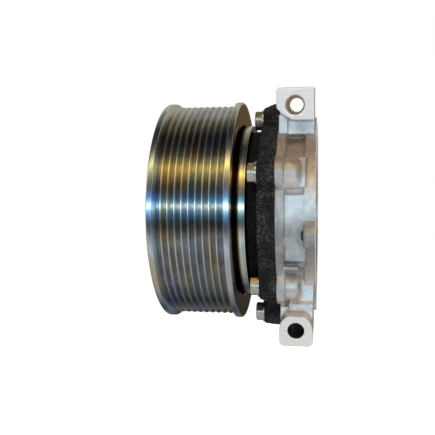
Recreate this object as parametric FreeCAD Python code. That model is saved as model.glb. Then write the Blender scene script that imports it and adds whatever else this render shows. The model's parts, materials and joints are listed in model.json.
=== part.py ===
"""Electromagnetic pulley clutch on its front head and drive-end housing.

Millimetres. The shaft axis is X, with +X towards the rear, and +Z is up.
The stations below are measured along the shaft from the pulley's middle plane.
save() moves every piece so that the finished part's origin is the centre of the
rear joint face, where the part is bolted on.
"""
import FreeCAD
import Part
import os
from math import cos, radians, sin, sqrt, tan
from FreeCAD import Vector

# ---- driving dimensions -------------------------------------------------------
JOINT_X = 63.0              # rear joint face

# belt pulley, for a ten-groove poly-V belt
GROOVES = 10
GROOVE_PITCH = 3.56
GROOVE_HALF_ANGLE = 20.0
CREST_R = 60.5
GROOVE_R = 57.4
GROOVE_FLOOR = 0.55
CREST_BREAK = 0.22
RIM_R = 62.5
RIM_HALF_WIDTH = 21.4
RIM_CORNER = 1.1
POLE_R = 49.6               # bore of the outer pole, around the coil
WEB_FRONT = -15.0           # friction face
WEB_REAR = -10.0
RECESS_R = 53.0             # bore of the front lip, around the armature
INNER_POLE_R = 36.4
INNER_POLE_REAR = 19.0
SHOULDER_R = 29.0

# double-row pulley bearing, 40 x 62 x 24
BEARING_FRONT = -9.0
BEARING_REAR = 15.0
BEARING_BORE_R = 20.0
BEARING_OUTER_R = 31.0
RING_GAP = (22.8, 28.2)     # outside of the inner ring, inside of the outer ring
BALL_R = 3.175
BALL_PITCH_R = 25.5
RACE_R = 3.2
BALL_ROWS = (-2.5, 8.5)
BALLS_PER_ROW = 12

# coil
COIL_FRONT = -8.0
COIL_REAR = 27.1
COIL_PLATE = 3.0
COIL_OUTER_R = 49.0         # rim of the coil plate, behind the pulley
COIL_BODY_R = 48.2          # shell inside the pulley
COIL_RIM_FRONT = 23.1
COIL_INNER_R = 37.0
COIL_WALL = 2.0
REGISTER_R = 26.0           # spigot of the front head that centres the coil

# front head
NOSE_FRONT = -12.5
NOSE_BORE_R = 15.0
BOSS_R = 45.6
FLANGE_FRONT = 33.5
FLANGE_REAR = 42.5
FLANGE_R = 53.0
BOLT_CIRCLE_R = 52.0
BOLT_ANGLES = (73.0, 18.0, -54.0, -126.0, 150.0)
FOOT_BOLT_R = 59.0          # sixth bolt, straight below the shaft
LOBE_FRONT_R = 7.0
LOBE_REAR_R = 9.4
FOOT_LOBE_R = 7.5
LEAD_ANGLE = 126.0          # where the coil's lead comes out
LEAD_R = 42.0

# M6 head bolts
BOLT_R = 2.98
BOLT_HOLE_R = 3.3
TAPPED_R = 3.0
BOLT_AF = 10.0
HEAD_H = 3.9
WASHER_T = 1.0
WASHER_R = 6.0
BOLT_END = 54.0

# shaft, in steps from the front
THREAD_R = 4.0
STUB_R = 7.0
SEAL_LAND_R = 9.0
JOURNAL_R = 9.5
TAIL_R = 8.0
NUT_FRONT = -31.0
SHAFT_SHOULDER = -3.0

# needle bearing on the shaft
NEEDLE_R = 1.25
NEEDLE_PITCH_R = 10.77
NEEDLES = 16
SHELL_R = 13.5
SHELL_SPAN = (20.0, 34.0)
NEEDLE_SPAN = (22.0, 32.0)

# hub, springs and armature
HUB_FRONT = -24.0
HUB_REAR = -20.9
SPRING_T = 0.8
ARMATURE_FRONT = HUB_REAR + SPRING_T
ARMATURE_REAR = -15.4       # leaves an air gap of 0.4
ARMATURE_R = (31.5, 51.0)
HUB_RIVET_R = 25.0
ARMATURE_RIVET_R = 41.0
ARM_ANGLES = (90.0, 210.0, 330.0)
SPRING_SWEEP = 62.0
PAD_R = 36.0
PAD_OFFSET = -35.0

# drive-end housing
BARREL_R = (40.0, 48.0)
HOUSING_FLANGE = 4.8
REAR_FLANGE = 6.0
REAR_BOLT_R = 50.0
REAR_ANGLES = (54.0, -18.0, -90.0, -162.0, 126.0)
REAR_LOBE_R = 7.5
RIB_ANGLES = (54.0, -36.0, 126.0, -162.0, -108.0)
BOLT_BOSS_R = 8.0
TOP_BOSS_R = 4.6            # slim, so that the upper ear's hole is open behind
EAR_NEAR_Y = -45.0
EAR_TILT = 13.0             # the holes climb away from the ears' faces
UPPER_EAR = (52.0, 51.5)    # X and Z of the hole in the ear's face
UPPER_EAR_DEPTH = 25.0
UPPER_MOUTH = (5.0, 19.0)   # radius and depth of the wide part of the hole
UPPER_HOLE_R = 3.75
LOWER_EAR = (53.3, -63.5)
LOWER_EAR_DEPTH = 30.0
LOWER_HOLE_R = 4.2

EXTRA = 1.0                 # overrun of a cutting tool
AXIS = Vector(1, 0, 0)


# ---- small tools --------------------------------------------------------------
def polar(radius, angle):
    """Y and Z of a point round the shaft; angle 0 is the ears' side, 90 is up."""
    return -radius * cos(radians(angle)), radius * sin(radians(angle))


def rod(x0, x1, radius, y=0.0, z=0.0):
    """Cylinder along the shaft's direction."""
    return Part.makeCylinder(radius, x1 - x0, Vector(x0, y, z), AXIS)


def tube(x0, x1, inner, outer, y=0.0, z=0.0):
    return rod(x0, x1, outer, y, z).cut(rod(x0 - EXTRA, x1 + EXTRA, inner, y, z))


def cone(x0, x1, r0, r1, y=0.0, z=0.0):
    return Part.makeCone(r0, r1, x1 - x0, Vector(x0, y, z), AXIS)


def turned(outline):
    """Solid of revolution round the shaft from (x, radius) points."""
    points = [Vector(x, 0, r) for x, r in outline]
    face = Part.Face(Part.makePolygon(points + [points[0]]))
    return face.revolve(Vector(0, 0, 0), AXIS, 360)


def block(x0, x1, y0, y1, z0, z1):
    return Part.makeBox(x1 - x0, y1 - y0, z1 - z0, Vector(x0, y0, z0))


def cross_rod(x, z, y0, y1, radius):
    """Cylinder along Y."""
    return Part.makeCylinder(radius, y1 - y0, Vector(x, y0, z), Vector(0, 1, 0))


def spun(shape, angle):
    """Copy of a shape made at angle 0, turned round the shaft to an angle."""
    copy = shape.copy()
    copy.rotate(Vector(0, 0, 0), AXIS, -angle)
    return copy


def each(shape, angles):
    return [spun(shape, a) for a in angles]


def evenly(count, start=0.0):
    return [start + 360.0 * i / count for i in range(count)]


def sector(x0, x1, inner, outer, start, end):
    """Part of a tube between two angles."""
    face = tube(x0, x1, inner, outer)
    reach = 2.0 * outer
    corners = [polar(reach, start + (end - start) * i / 4.0) for i in range(5)]
    fan = [Vector(x0 - EXTRA, 0, 0)] + [Vector(x0 - EXTRA, y, z) for y, z in corners]
    wedge = Part.Face(Part.makePolygon(fan + [fan[0]])).extrude(Vector(x1 - x0 + 2 * EXTRA, 0, 0))
    return face.common(wedge)


def hex_prism(x0, x1, across_flats, y=0.0, z=0.0):
    """Hexagonal prism along X with level flats at its top and bottom."""
    corner = across_flats / sqrt(3.0)
    points = []
    for i in range(6):
        dy, dz = polar(corner, 60.0 * i)
        points.append(Vector(x0, y + dy, z + dz))
    face = Part.Face(Part.makePolygon(points + [points[0]]))
    return face.extrude(Vector(x1 - x0, 0, 0))


def joined(shapes):
    return shapes[0].fuse(shapes[1:]).removeSplitter()


def save(name, shape):
    """Write one node, moved so that the rear joint face is at X = 0."""
    solids = shape if isinstance(shape, list) else [shape]
    group = solids[0].copy() if len(solids) == 1 else Part.makeCompound(solids)
    group.translate(Vector(-JOINT_X, 0, 0))
    group.exportStep("parts/" + name + ".step")
    print(name, "solids", len(group.Solids), "valid", group.isValid(), "volume", round(group.Volume, 1))


# ---- pulley body --------------------------------------------------------------
def groove_outline():
    """Outline of the grooves and both rims, from the front corner to the rear one."""
    slope = tan(radians(GROOVE_HALF_ANGLE))
    floor = GROOVE_FLOOR / 2.0
    low = floor + (CREST_R - CREST_BREAK - GROOVE_R) * slope
    top = low + CREST_BREAK * 0.8
    rim = floor + (RIM_R - GROOVE_R) * slope
    corner = [(0.0, RIM_CORNER), (0.35 * RIM_CORNER, 0.3 * RIM_CORNER), (RIM_CORNER, 0.0)]
    points = [(-RIM_HALF_WIDTH + dx, RIM_R - dr) for dx, dr in corner]
    for i in range(GROOVES):
        centre = (i - (GROOVES - 1) / 2.0) * GROOVE_PITCH
        if i == 0:
            points.append((centre - rim, RIM_R))
        else:
            points.append((centre - top, CREST_R))
            points.append((centre - low, CREST_R - CREST_BREAK))
        points.append((centre - floor, GROOVE_R))
        points.append((centre + floor, GROOVE_R))
        if i == GROOVES - 1:
            points.append((centre + rim, RIM_R))
        else:
            points.append((centre + low, CREST_R - CREST_BREAK))
            points.append((centre + top, CREST_R))
    return points + [(RIM_HALF_WIDTH - dx, RIM_R - dr) for dx, dr in reversed(corner)]


LINING_R = (42.2, 44.4)
LINING_REAR = WEB_FRONT + 1.2
RING_GROOVE = (BEARING_REAR + 0.05, BEARING_REAR + 1.75)


def pulley_rotor():
    """Grooved rim, friction web and both poles, turned from one steel piece."""
    pole_break = 0.9
    outline = groove_outline() + [
        (RIM_HALF_WIDTH, POLE_R + pole_break),
        (RIM_HALF_WIDTH - pole_break, POLE_R),
        (WEB_REAR, POLE_R),
        (WEB_REAR, INNER_POLE_R),
        (INNER_POLE_REAR, INNER_POLE_R),
        (INNER_POLE_REAR, BEARING_OUTER_R),
        (BEARING_FRONT, BEARING_OUTER_R),
        (BEARING_FRONT, SHOULDER_R),
        (WEB_FRONT, SHOULDER_R),
        (WEB_FRONT, RECESS_R),
        (-RIM_HALF_WIDTH + 0.6, RECESS_R),
        (-RIM_HALF_WIDTH, RECESS_R + 0.6),
    ]
    body = turned(outline)
    tools = [tube(RING_GROOVE[0], RING_GROOVE[1], BEARING_OUTER_R - EXTRA, 32.4),
             tube(WEB_FRONT - EXTRA, LINING_REAR, LINING_R[0], LINING_R[1])]
    for inner, outer, start in ((39.2, 41.2, 0.0), (45.4, 47.4, 30.0)):
        slot = sector(WEB_FRONT - EXTRA, WEB_REAR + EXTRA, inner, outer, -22.0, 22.0)
        tools += each(slot, evenly(6, start))
    return body.cut(tools)


def retaining_ring(x0, x1, inner, outer, lug_r, gap_at):
    """C-shaped ring with two eyed lugs beside its gap."""
    half = 7.0
    gap = sector(x0 - EXTRA, x1 + EXTRA, inner - EXTRA, outer + EXTRA, gap_at - half, gap_at + half)
    ring = tube(x0, x1, inner, outer).cut(gap)
    for side in (-1, 1):
        y, z = polar(lug_r, gap_at + side * (half + 3.0))
        ring = ring.fuse(rod(x0, x1, 2.1, y, z)).cut(rod(x0 - EXTRA, x1 + EXTRA, 0.8, y, z))
    return ring.removeSplitter()


# ---- pulley bearing -----------------------------------------------------------
def bearing_ring(inner, outer):
    ring = tube(BEARING_FRONT, BEARING_REAR, inner, outer)
    races = [Part.makeTorus(BALL_PITCH_R, RACE_R, Vector(x, 0, 0), AXIS) for x in BALL_ROWS]
    return ring.cut(races)


def ball_places(row):
    start = 0.0 if row == BALL_ROWS[0] else 15.0
    return [polar(BALL_PITCH_R, a) for a in evenly(BALLS_PER_ROW, start)]


def bearing_balls():
    return [Part.makeSphere(BALL_R, Vector(row, y, z)) for row in BALL_ROWS for y, z in ball_places(row)]


def bearing_cages():
    cages = []
    for row in BALL_ROWS:
        ring = tube(row - 4.0, row + 4.0, 24.6, 26.4)
        pockets = [Part.makeSphere(BALL_R + 0.05, Vector(row, y, z)) for y, z in ball_places(row)]
        cages.append(ring.cut(pockets))
    return cages


def bearing_seals():
    starts = (BEARING_FRONT + 0.2, BEARING_REAR - 1.6)
    return [tube(x, x + 1.4, RING_GAP[0] + 0.06, RING_GAP[1]) for x in starts]


# ---- coil ---------------------------------------------------------------------
CHANNEL = (COIL_INNER_R + COIL_WALL, COIL_BODY_R - COIL_WALL)
CHANNEL_REAR = COIL_REAR - COIL_PLATE
PIN_R = 1.5
PIN_AT = (32.0, -90.0)


def coil_housing():
    """Steel shell of U section with the flange that fastens it to the front head."""
    outline = [
        (COIL_FRONT, COIL_BODY_R - 0.4),
        (COIL_FRONT + 0.4, COIL_BODY_R),
        (COIL_RIM_FRONT, COIL_BODY_R),
        (COIL_RIM_FRONT, COIL_OUTER_R - 0.3),
        (COIL_RIM_FRONT + 0.3, COIL_OUTER_R),
        (COIL_REAR - 0.8, COIL_OUTER_R),
        (COIL_REAR, COIL_OUTER_R - 0.8),
        (COIL_REAR, REGISTER_R + 0.02),
        (CHANNEL_REAR, REGISTER_R + 0.02),
        (CHANNEL_REAR, COIL_INNER_R),
        (COIL_FRONT, COIL_INNER_R),
        (COIL_FRONT, CHANNEL[0]),
        (CHANNEL_REAR, CHANNEL[0]),
        (CHANNEL_REAR, CHANNEL[1]),
        (COIL_FRONT, CHANNEL[1]),
    ]
    pin_y, pin_z = polar(*PIN_AT)
    lead_y, lead_z = polar(LEAD_R, LEAD_ANGLE)
    tools = [rod(CHANNEL_REAR - EXTRA, COIL_REAR + EXTRA, PIN_R, pin_y, pin_z),
             rod(CHANNEL_REAR - EXTRA, COIL_REAR + EXTRA, 2.0, lead_y, lead_z)]
    return turned(outline).cut(tools)


BOBBIN_FRONT = COIL_FRONT + 2.0
BOBBIN_REAR = CHANNEL_REAR - 0.1
BOBBIN_R = (CHANNEL[0] + 0.05, CHANNEL[1] - 0.4)


def coil_bobbin():
    wall = 1.0
    return turned([
        (BOBBIN_FRONT, BOBBIN_R[0]),
        (BOBBIN_REAR, BOBBIN_R[0]),
        (BOBBIN_REAR, BOBBIN_R[1]),
        (BOBBIN_REAR - wall, BOBBIN_R[1]),
        (BOBBIN_REAR - wall, BOBBIN_R[0] + wall),
        (BOBBIN_FRONT + wall, BOBBIN_R[0] + wall),
        (BOBBIN_FRONT + wall, BOBBIN_R[1]),
        (BOBBIN_FRONT, BOBBIN_R[1]),
    ])


def coil_winding():
    return tube(BOBBIN_FRONT + 1.0, BOBBIN_REAR - 1.0, BOBBIN_R[0] + 1.0, BOBBIN_R[1] - 0.5)


def coil_potting():
    """Resin that closes the open end of the coil's channel."""
    return tube(COIL_FRONT + 0.3, BOBBIN_FRONT, CHANNEL[0], CHANNEL[1])


def lead_tunnel():
    """Elbow that the coil's lead runs through, from the coil plate outwards."""
    mid = COIL_REAR + 2.4
    along = rod(COIL_REAR - EXTRA, mid, 1.5, -LEAD_R, 0)
    out = Part.makeCylinder(1.5, 12.0, Vector(mid, -LEAD_R, 0), Vector(0, -1, 0))
    return along.fuse(out).fuse(Part.makeSphere(1.5, Vector(mid, -LEAD_R, 0)))


def lead_grommet():
    body = block(COIL_REAR, COIL_REAR + 4.6, -BOSS_R - 2.0, -38.05, -4.4, 4.4)
    collar = Part.makeCylinder(3.0, 1.6, Vector(COIL_REAR + 3.0, -BOSS_R - 3.4, 0), Vector(0, 1, 0))
    collar = collar.common(block(COIL_REAR, COIL_REAR + 6.0, -60.0, -38.0, -3.0, 3.0))
    return spun(body.fuse(collar).removeSplitter().cut(lead_tunnel()), LEAD_ANGLE)


# ---- front head ---------------------------------------------------------------
def bolt_places():
    return [polar(BOLT_CIRCLE_R, a) for a in BOLT_ANGLES] + [(0.0, -FOOT_BOLT_R)]


def flange_plate(x0, x1, taper_to, disc_r, front_r, rear_r, foot_r):
    """Round plate with a lobe at each bolt; the lobes taper between x0 and taper_to."""
    pieces = [rod(x0, x1, disc_r)]
    for y, z in bolt_places()[:-1]:
        pieces.append(cone(x0, taper_to, front_r, rear_r, y, z))
        pieces.append(rod(taper_to, x1, rear_r, y, z))
    pieces.append(cone(x0, taper_to, foot_r - 0.7, foot_r, 0, -FOOT_BOLT_R))
    pieces.append(rod(taper_to, x1, foot_r, 0, -FOOT_BOLT_R))
    pieces.append(block(x0, x1, -foot_r + 0.7, foot_r - 0.7, -FOOT_BOLT_R, -disc_r + 6.0))
    return joined(pieces)


DOWEL_R = 2.0
DOWEL_AT = (49.2, (54.0, -144.0))
DOWEL_SPAN = (38.5, 46.6)
ORING_R = 44.0
ORING_SECTION = 1.0
SEAL_SPAN = (4.0, 12.0)
SEAL_CASE_T = 0.9
SEAL_CASE_BORE_R = 11.6
SEAL_RING_SPAN = (2.3, 3.7)
SEAL_RING_GROOVE_R = 16.2
NOSE_GROOVE_R = 19.0
NOSE_RING_SPAN = (-10.7, -9.0)
COIL_RING_SPAN = (22.4, CHANNEL_REAR)
COIL_RING_GROOVE_R = 24.5


def front_head():
    """Cast head: nose for both bearings and the seal, coil register, boss and flange."""
    nose = turned([
        (NOSE_FRONT, NOSE_BORE_R + 0.6),
        (NOSE_FRONT, BEARING_BORE_R - 0.8),
        (NOSE_FRONT + 0.8, BEARING_BORE_R),
        (BEARING_REAR, BEARING_BORE_R),
        (BEARING_REAR, RING_GAP[0] - 0.3),
        (BEARING_REAR + 1.2, RING_GAP[0] - 0.3),
        (BEARING_REAR + 1.8, REGISTER_R),
        (COIL_REAR, REGISTER_R),
        (COIL_REAR, BOSS_R - 0.8),
        (COIL_REAR + 0.8, BOSS_R),
        (FLANGE_FRONT - 1.0, BOSS_R),
        (FLANGE_FRONT, BOSS_R + 0.35),
        (FLANGE_FRONT + 1.0, BOSS_R + 0.35),
        (FLANGE_FRONT + 1.0, SHELL_R),
        (SHELL_SPAN[0], SHELL_R),
        (SHELL_SPAN[0], JOURNAL_R + 1.0),
        (SEAL_SPAN[1], JOURNAL_R + 1.0),
        (SEAL_SPAN[1], NOSE_BORE_R),
        (NOSE_FRONT + 0.6, NOSE_BORE_R),
    ])
    plate = flange_plate(FLANGE_FRONT, FLANGE_REAR, FLANGE_FRONT + 6.0, FLANGE_R,
                         LOBE_FRONT_R, LOBE_REAR_R, FOOT_LOBE_R)
    plate = plate.cut(rod(FLANGE_FRONT - EXTRA, FLANGE_REAR + EXTRA, SHELL_R))
    body = joined([nose, plate])
    tools = [rod(FLANGE_FRONT - EXTRA, FLANGE_REAR + EXTRA, BOLT_HOLE_R, y, z) for y, z in bolt_places()]
    tools.append(tube(NOSE_RING_SPAN[0], NOSE_RING_SPAN[1], NOSE_GROOVE_R, BEARING_BORE_R + EXTRA))
    tools.append(tube(COIL_RING_SPAN[0], COIL_RING_SPAN[1], COIL_RING_GROOVE_R, REGISTER_R + EXTRA))
    tools.append(rod(SEAL_RING_SPAN[0], SEAL_RING_SPAN[1], SEAL_RING_GROOVE_R))
    tools.append(tube(FLANGE_REAR - 2.0, FLANGE_REAR + EXTRA, ORING_R - 1.5, ORING_R + 1.5))
    tools += [rod(DOWEL_SPAN[0], FLANGE_REAR + EXTRA, DOWEL_R, *polar(DOWEL_AT[0], a)) for a in DOWEL_AT[1]]
    tools.append(rod(COIL_REAR - EXTRA, COIL_REAR + 4.0, PIN_R, *polar(*PIN_AT)))
    slot = block(COIL_REAR - EXTRA, COIL_REAR + 5.2, -BOSS_R - 4.0, -38.0, -4.45, 4.45)
    tools.append(spun(slot, LEAD_ANGLE))
    return body.cut(tools)


def seal_case():
    """Pressed steel case of the shaft seal, of L section."""
    return turned([
        (SEAL_SPAN[0], NOSE_BORE_R - SEAL_CASE_T),
        (SEAL_SPAN[0], NOSE_BORE_R),
        (SEAL_SPAN[1], NOSE_BORE_R),
        (SEAL_SPAN[1], SEAL_CASE_BORE_R),
        (SEAL_SPAN[1] - SEAL_CASE_T, SEAL_CASE_BORE_R),
        (SEAL_SPAN[1] - SEAL_CASE_T, NOSE_BORE_R - SEAL_CASE_T),
    ])


def seal_lip():
    """Rubber lip bonded inside the case and running on the shaft."""
    touch = SEAL_LAND_R + 0.02
    return turned([
        (SEAL_SPAN[1] - SEAL_CASE_T, NOSE_BORE_R - SEAL_CASE_T),
        (SEAL_SPAN[1] - SEAL_CASE_T, 10.6),
        (SEAL_SPAN[1] - 3.0, 10.2),
        (SEAL_SPAN[0] + 1.6, touch),
        (SEAL_SPAN[0] + 0.9, touch + 0.9),
        (SEAL_SPAN[0] + 2.2, 11.6),
        (SEAL_SPAN[0] + 4.8, 12.4),
        (SEAL_SPAN[0] + 4.8, NOSE_BORE_R - SEAL_CASE_T),
    ])


# ---- fasteners ----------------------------------------------------------------
def locating_dowels():
    x0, x1 = DOWEL_SPAN
    return [rod(x0 + 0.1, x1 - 0.1, DOWEL_R, *polar(DOWEL_AT[0], a)) for a in DOWEL_AT[1]]


def head_bolts():
    """Six hexagon bolts with chamfered heads, threaded into the housing."""
    seat = FLANGE_FRONT - WASHER_T
    bolts = []
    for y, z in bolt_places():
        head = hex_prism(seat - HEAD_H, seat, BOLT_AF, y, z)
        corner = BOLT_AF / sqrt(3.0)
        dome = cone(seat - HEAD_H, seat - HEAD_H + 0.7, corner - 1.1, corner + 0.1, y, z)
        dome = dome.fuse(rod(seat - HEAD_H + 0.7, seat, corner + 0.1, y, z))
        head = head.common(dome)
        tip = cone(BOLT_END - 0.8, BOLT_END, BOLT_R, BOLT_R - 0.7, y, z)
        bolts.append(joined([head, rod(seat, BOLT_END - 0.8, BOLT_R, y, z), tip]))
    return bolts


def head_washers():
    seat = FLANGE_FRONT - WASHER_T
    return [tube(seat, FLANGE_FRONT, BOLT_R + 0.22, WASHER_R, y, z) for y, z in bolt_places()]


# ---- drive-end housing --------------------------------------------------------
def tipped(shape, z):
    """Copy of a shape tipped about its ear's face, at the height of the hole."""
    copy = shape.copy()
    copy.rotate(Vector(0, EAR_NEAR_Y, z), AXIS, EAR_TILT)
    return copy


def ear_plate(corners, depth):
    """Ear drawn by (x, z) corners on its face."""
    points = [Vector(x, EAR_NEAR_Y, z) for x, z in corners]
    return Part.Face(Part.makePolygon(points + [points[0]])).extrude(Vector(0, depth, 0))


def upper_ear():
    """Square-topped mounting ear with a sloping lower corner, on a root block."""
    x, z = UPPER_EAR
    front = FLANGE_REAR
    rear = x + 10.0
    top = z + 9.0
    low = z - 7.6
    root_low = 37.5
    plate = ear_plate([(front, top - 0.8), (front + 0.8, top), (rear, top), (rear, low), (x - 1.5, low),
                       (x - 6.5, low + 3.0), (front, z - 1.4)], UPPER_EAR_DEPTH)
    root = block(x - 4.5, rear, -38.0, -22.0, root_low, low + 8.0)
    front_root = block(front + EXTRA, x - 4.0, -40.0, -20.0, root_low, low + 4.0)
    return [tipped(plate, z), root, front_root]


def lower_ear():
    """Round-topped, square-footed ear on a shelf and a web that runs up to the barrel."""
    x, z = LOWER_EAR
    half = 8.5
    foot = z - 8.2
    cut = 1.6
    base = ear_plate([(x - half, z), (x - half, foot + cut), (x - half + cut, foot),
                      (x + half - cut, foot), (x + half, foot + cut), (x + half, z)], LOWER_EAR_DEPTH)
    crown = cross_rod(x, z, EAR_NEAR_Y, EAR_NEAR_Y + LOWER_EAR_DEPTH, half)
    crown = crown.common(block(x - half, x + half, EAR_NEAR_Y, 0, z - 2.0, z + 7.4))
    shelf = block(x - 4.0, x + half, -38.0, -18.0, z + 4.0, -50.4)
    step = block(x - half, x - 3.0, -36.0, -18.0, z + 4.0, -52.4)
    web = block(x - 3.5, x + half, -29.0, -18.0, z + 2.0, -36.0)
    return [tipped(base, z), tipped(crown, z), shelf, step, web]


def ear_drills():
    """Stepped hole of the upper ear and plain hole of the lower one."""
    mouth_r, mouth_depth = UPPER_MOUTH
    drills = []
    for (x, z), radius, depth in ((UPPER_EAR, mouth_r, mouth_depth),
                                  (UPPER_EAR, UPPER_HOLE_R, UPPER_EAR_DEPTH + 4.0),
                                  (LOWER_EAR, LOWER_HOLE_R, LOWER_EAR_DEPTH + 4.0)):
        drills.append(tipped(cross_rod(x, z, EAR_NEAR_Y - 2.0 * EXTRA, EAR_NEAR_Y + depth, radius), z))
    return drills


def bolt_bosses():
    """Round-ended bosses that the head bolts are screwed into."""
    straight_to = BOLT_END - 1.4
    mid = straight_to + 1.2
    bosses = []
    radii = [TOP_BOSS_R] + [BOLT_BOSS_R] * (len(BOLT_ANGLES) - 1) + [FOOT_LOBE_R - 1.0]
    for (y, z), radius in zip(bolt_places(), radii):
        bosses.append(rod(FLANGE_REAR + EXTRA, straight_to, radius, y, z))
        bosses.append(cone(straight_to, mid, radius, radius - 0.6, y, z))
        bosses.append(cone(mid, mid + 1.7, radius - 0.6, radius - 2.5, y, z))
    return bosses


def drive_end_housing():
    """Cast barrel between two bolted flanges, with bolt bosses, ribs, a pad and two ears."""
    front_rear = FLANGE_REAR + HOUSING_FLANGE
    rear_front = JOINT_X - REAR_FLANGE
    plate = flange_plate(FLANGE_REAR, front_rear, FLANGE_REAR + 1.0, FLANGE_R,
                         LOBE_REAR_R - 0.5, LOBE_REAR_R, FOOT_LOBE_R)
    pieces = [plate, rod(front_rear, rear_front, BARREL_R[1]), rod(rear_front, JOINT_X, REAR_BOLT_R)]
    pieces += bolt_bosses()
    for angle in REAR_ANGLES:
        y, z = polar(REAR_BOLT_R, angle)
        pieces.append(cone(rear_front, rear_front + 1.0, REAR_LOBE_R - 0.6, REAR_LOBE_R, y, z))
        pieces.append(rod(rear_front + 1.0, JOINT_X, REAR_LOBE_R, y, z))
    rib = block(front_rear - EXTRA, rear_front + EXTRA, -51.5, -44.0, -1.6, 1.6)
    pieces += each(rib, RIB_ANGLES)
    machined_pad = block(47.7, rear_front + EXTRA, -49.6, -40.0, -28.5, 5.2)
    level_rib = block(front_rear - EXTRA, 54.5, -46.5, -34.0, -33.0, -30.8)
    upright = block(54.4, rear_front + EXTRA, -51.5, -40.0, 8.5, 24.0)
    pieces += [machined_pad, level_rib, upright] + upper_ear() + lower_ear()
    body = joined(pieces)
    tools = [rod(FLANGE_REAR - EXTRA, JOINT_X + EXTRA, BARREL_R[0])]
    tools += [rod(FLANGE_REAR - EXTRA, BOLT_END + 0.6, TAPPED_R, y, z) for y, z in bolt_places()]
    for angle in REAR_ANGLES:
        tools.append(rod(rear_front - EXTRA, JOINT_X + EXTRA, TAPPED_R, *polar(REAR_BOLT_R, angle)))
    for angle in DOWEL_AT[1]:
        tools.append(rod(FLANGE_REAR - EXTRA, DOWEL_SPAN[1], DOWEL_R, *polar(DOWEL_AT[0], angle)))
    return body.cut(tools + ear_drills())


# ---- shaft and its needle bearing ---------------------------------------------
KEY = (-17.0, -7.0, 4.0, 4.9, 8.9)      # ends, width, bottom and top
COLLAR = (43.6, 47.0, 16.0)             # ends and radius
HUB_STEP = -21.0
TAIL_SPAN = (49.0, JOINT_X - 1.0)


def key_block(grow=0.0):
    x0, x1, width, low, high = KEY
    return block(x0, x1, -width / 2.0 - grow, width / 2.0 + grow, low, high)


def drive_shaft():
    """Stepped shaft: thread, keyed stub, seal land, journal, thrust collar and tail."""
    outline = [
        (NUT_FRONT - 1.5, 0.0),
        (NUT_FRONT - 1.5, THREAD_R - 0.6),
        (NUT_FRONT - 0.9, THREAD_R),
        (HUB_STEP + 0.6, THREAD_R),
        (HUB_STEP + 0.6, STUB_R - 0.5),
        (HUB_STEP + 1.1, STUB_R),
        (SHAFT_SHOULDER, STUB_R),
        (SHAFT_SHOULDER, SEAL_LAND_R - 0.6),
        (SHAFT_SHOULDER + 1.2, SEAL_LAND_R),
        (16.0, SEAL_LAND_R),
        (16.5, JOURNAL_R),
        (COLLAR[0], JOURNAL_R),
        (COLLAR[0], COLLAR[2]),
        (COLLAR[1], COLLAR[2]),
        (COLLAR[1], TAIL_R + 1.5),
        (TAIL_SPAN[0], TAIL_R + 1.5),
        (TAIL_SPAN[0], TAIL_R),
        (TAIL_SPAN[1] - 1.0, TAIL_R),
        (TAIL_SPAN[1], TAIL_R - 1.0),
        (TAIL_SPAN[1], 0.0),
    ]
    return turned(outline).cut(key_block())


def thrust_washer():
    return tube(FLANGE_REAR + 0.05, COLLAR[0] - 0.05, JOURNAL_R + 0.6, COLLAR[2] - 0.5)


def needle_shell():
    """Drawn cup, open at the bore, with a turned-in lip at each end."""
    x0, x1 = SHELL_SPAN
    track = NEEDLE_PITCH_R + NEEDLE_R + 0.02
    lip = 0.8
    return turned([(x0, 11.7), (x0, SHELL_R), (x1, SHELL_R), (x1, 11.7), (x1 - lip, 11.7),
                   (x1 - lip, track), (x0 + lip, track), (x0 + lip, 11.7)])


def needle_rollers():
    return [rod(NEEDLE_SPAN[0], NEEDLE_SPAN[1], NEEDLE_R, *polar(NEEDLE_PITCH_R, a)) for a in evenly(NEEDLES)]


def needle_cage():
    ring = tube(NEEDLE_SPAN[0] - 1.0, NEEDLE_SPAN[1] + 1.0, 10.2, 11.4)
    gap = 0.03
    pockets = [rod(NEEDLE_SPAN[0] - gap, NEEDLE_SPAN[1] + gap, NEEDLE_R + gap, *polar(NEEDLE_PITCH_R, a))
               for a in evenly(NEEDLES)]
    return ring.cut(pockets)


# ---- hub, springs and armature ------------------------------------------------
HUB_DISC_R = 22.0
HUB_BOSS_R = 13.0
SPRING_HALF_WIDTH = 4.4
SPRING_EYE_R = 5.6
RIVET_SHANK_R = 2.4
SHIM_STACK = (0.3, 0.3, 0.4)
HUB_BOSS_REAR = SHAFT_SHOULDER - sum(SHIM_STACK)
PAD_SEAT = HUB_REAR - 1.5
PAD_HALF = 3.2              # radius of a stop pad


def hub():
    """Keyed hub with three riveted arms and three arms for the stop pads."""
    pieces = [rod(HUB_FRONT, HUB_REAR, HUB_DISC_R), rod(HUB_REAR, HUB_BOSS_REAR, HUB_BOSS_R)]
    arm = rod(HUB_FRONT, HUB_REAR, 7.0, -HUB_RIVET_R, 0)
    stop_arm = joined([block(HUB_FRONT, HUB_REAR, -PAD_R, -15.0, -5.0, 5.0),
                       rod(HUB_FRONT, HUB_REAR, 5.0, -PAD_R, 0)])
    pieces += each(arm, ARM_ANGLES)
    pieces += each(stop_arm, [a + PAD_OFFSET for a in ARM_ANGLES])
    body = joined(pieces)
    seat = rod(HUB_FRONT - EXTRA, HUB_FRONT + 0.6, 9.0)
    tools = [rod(HUB_FRONT - EXTRA, HUB_STEP, THREAD_R + 0.1),
             rod(HUB_STEP, HUB_BOSS_REAR + EXTRA, STUB_R + 0.01), seat, key_block(0.01)]
    rivet_hole = rod(HUB_FRONT - EXTRA, HUB_REAR + EXTRA, RIVET_SHANK_R, -HUB_RIVET_R, 0)
    pad_hole = rod(PAD_SEAT, HUB_REAR + EXTRA, PAD_HALF, -PAD_R, 0)
    tools += each(rivet_hole, ARM_ANGLES) + each(pad_hole, [a + PAD_OFFSET for a in ARM_ANGLES])
    return body.cut(tools)


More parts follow.
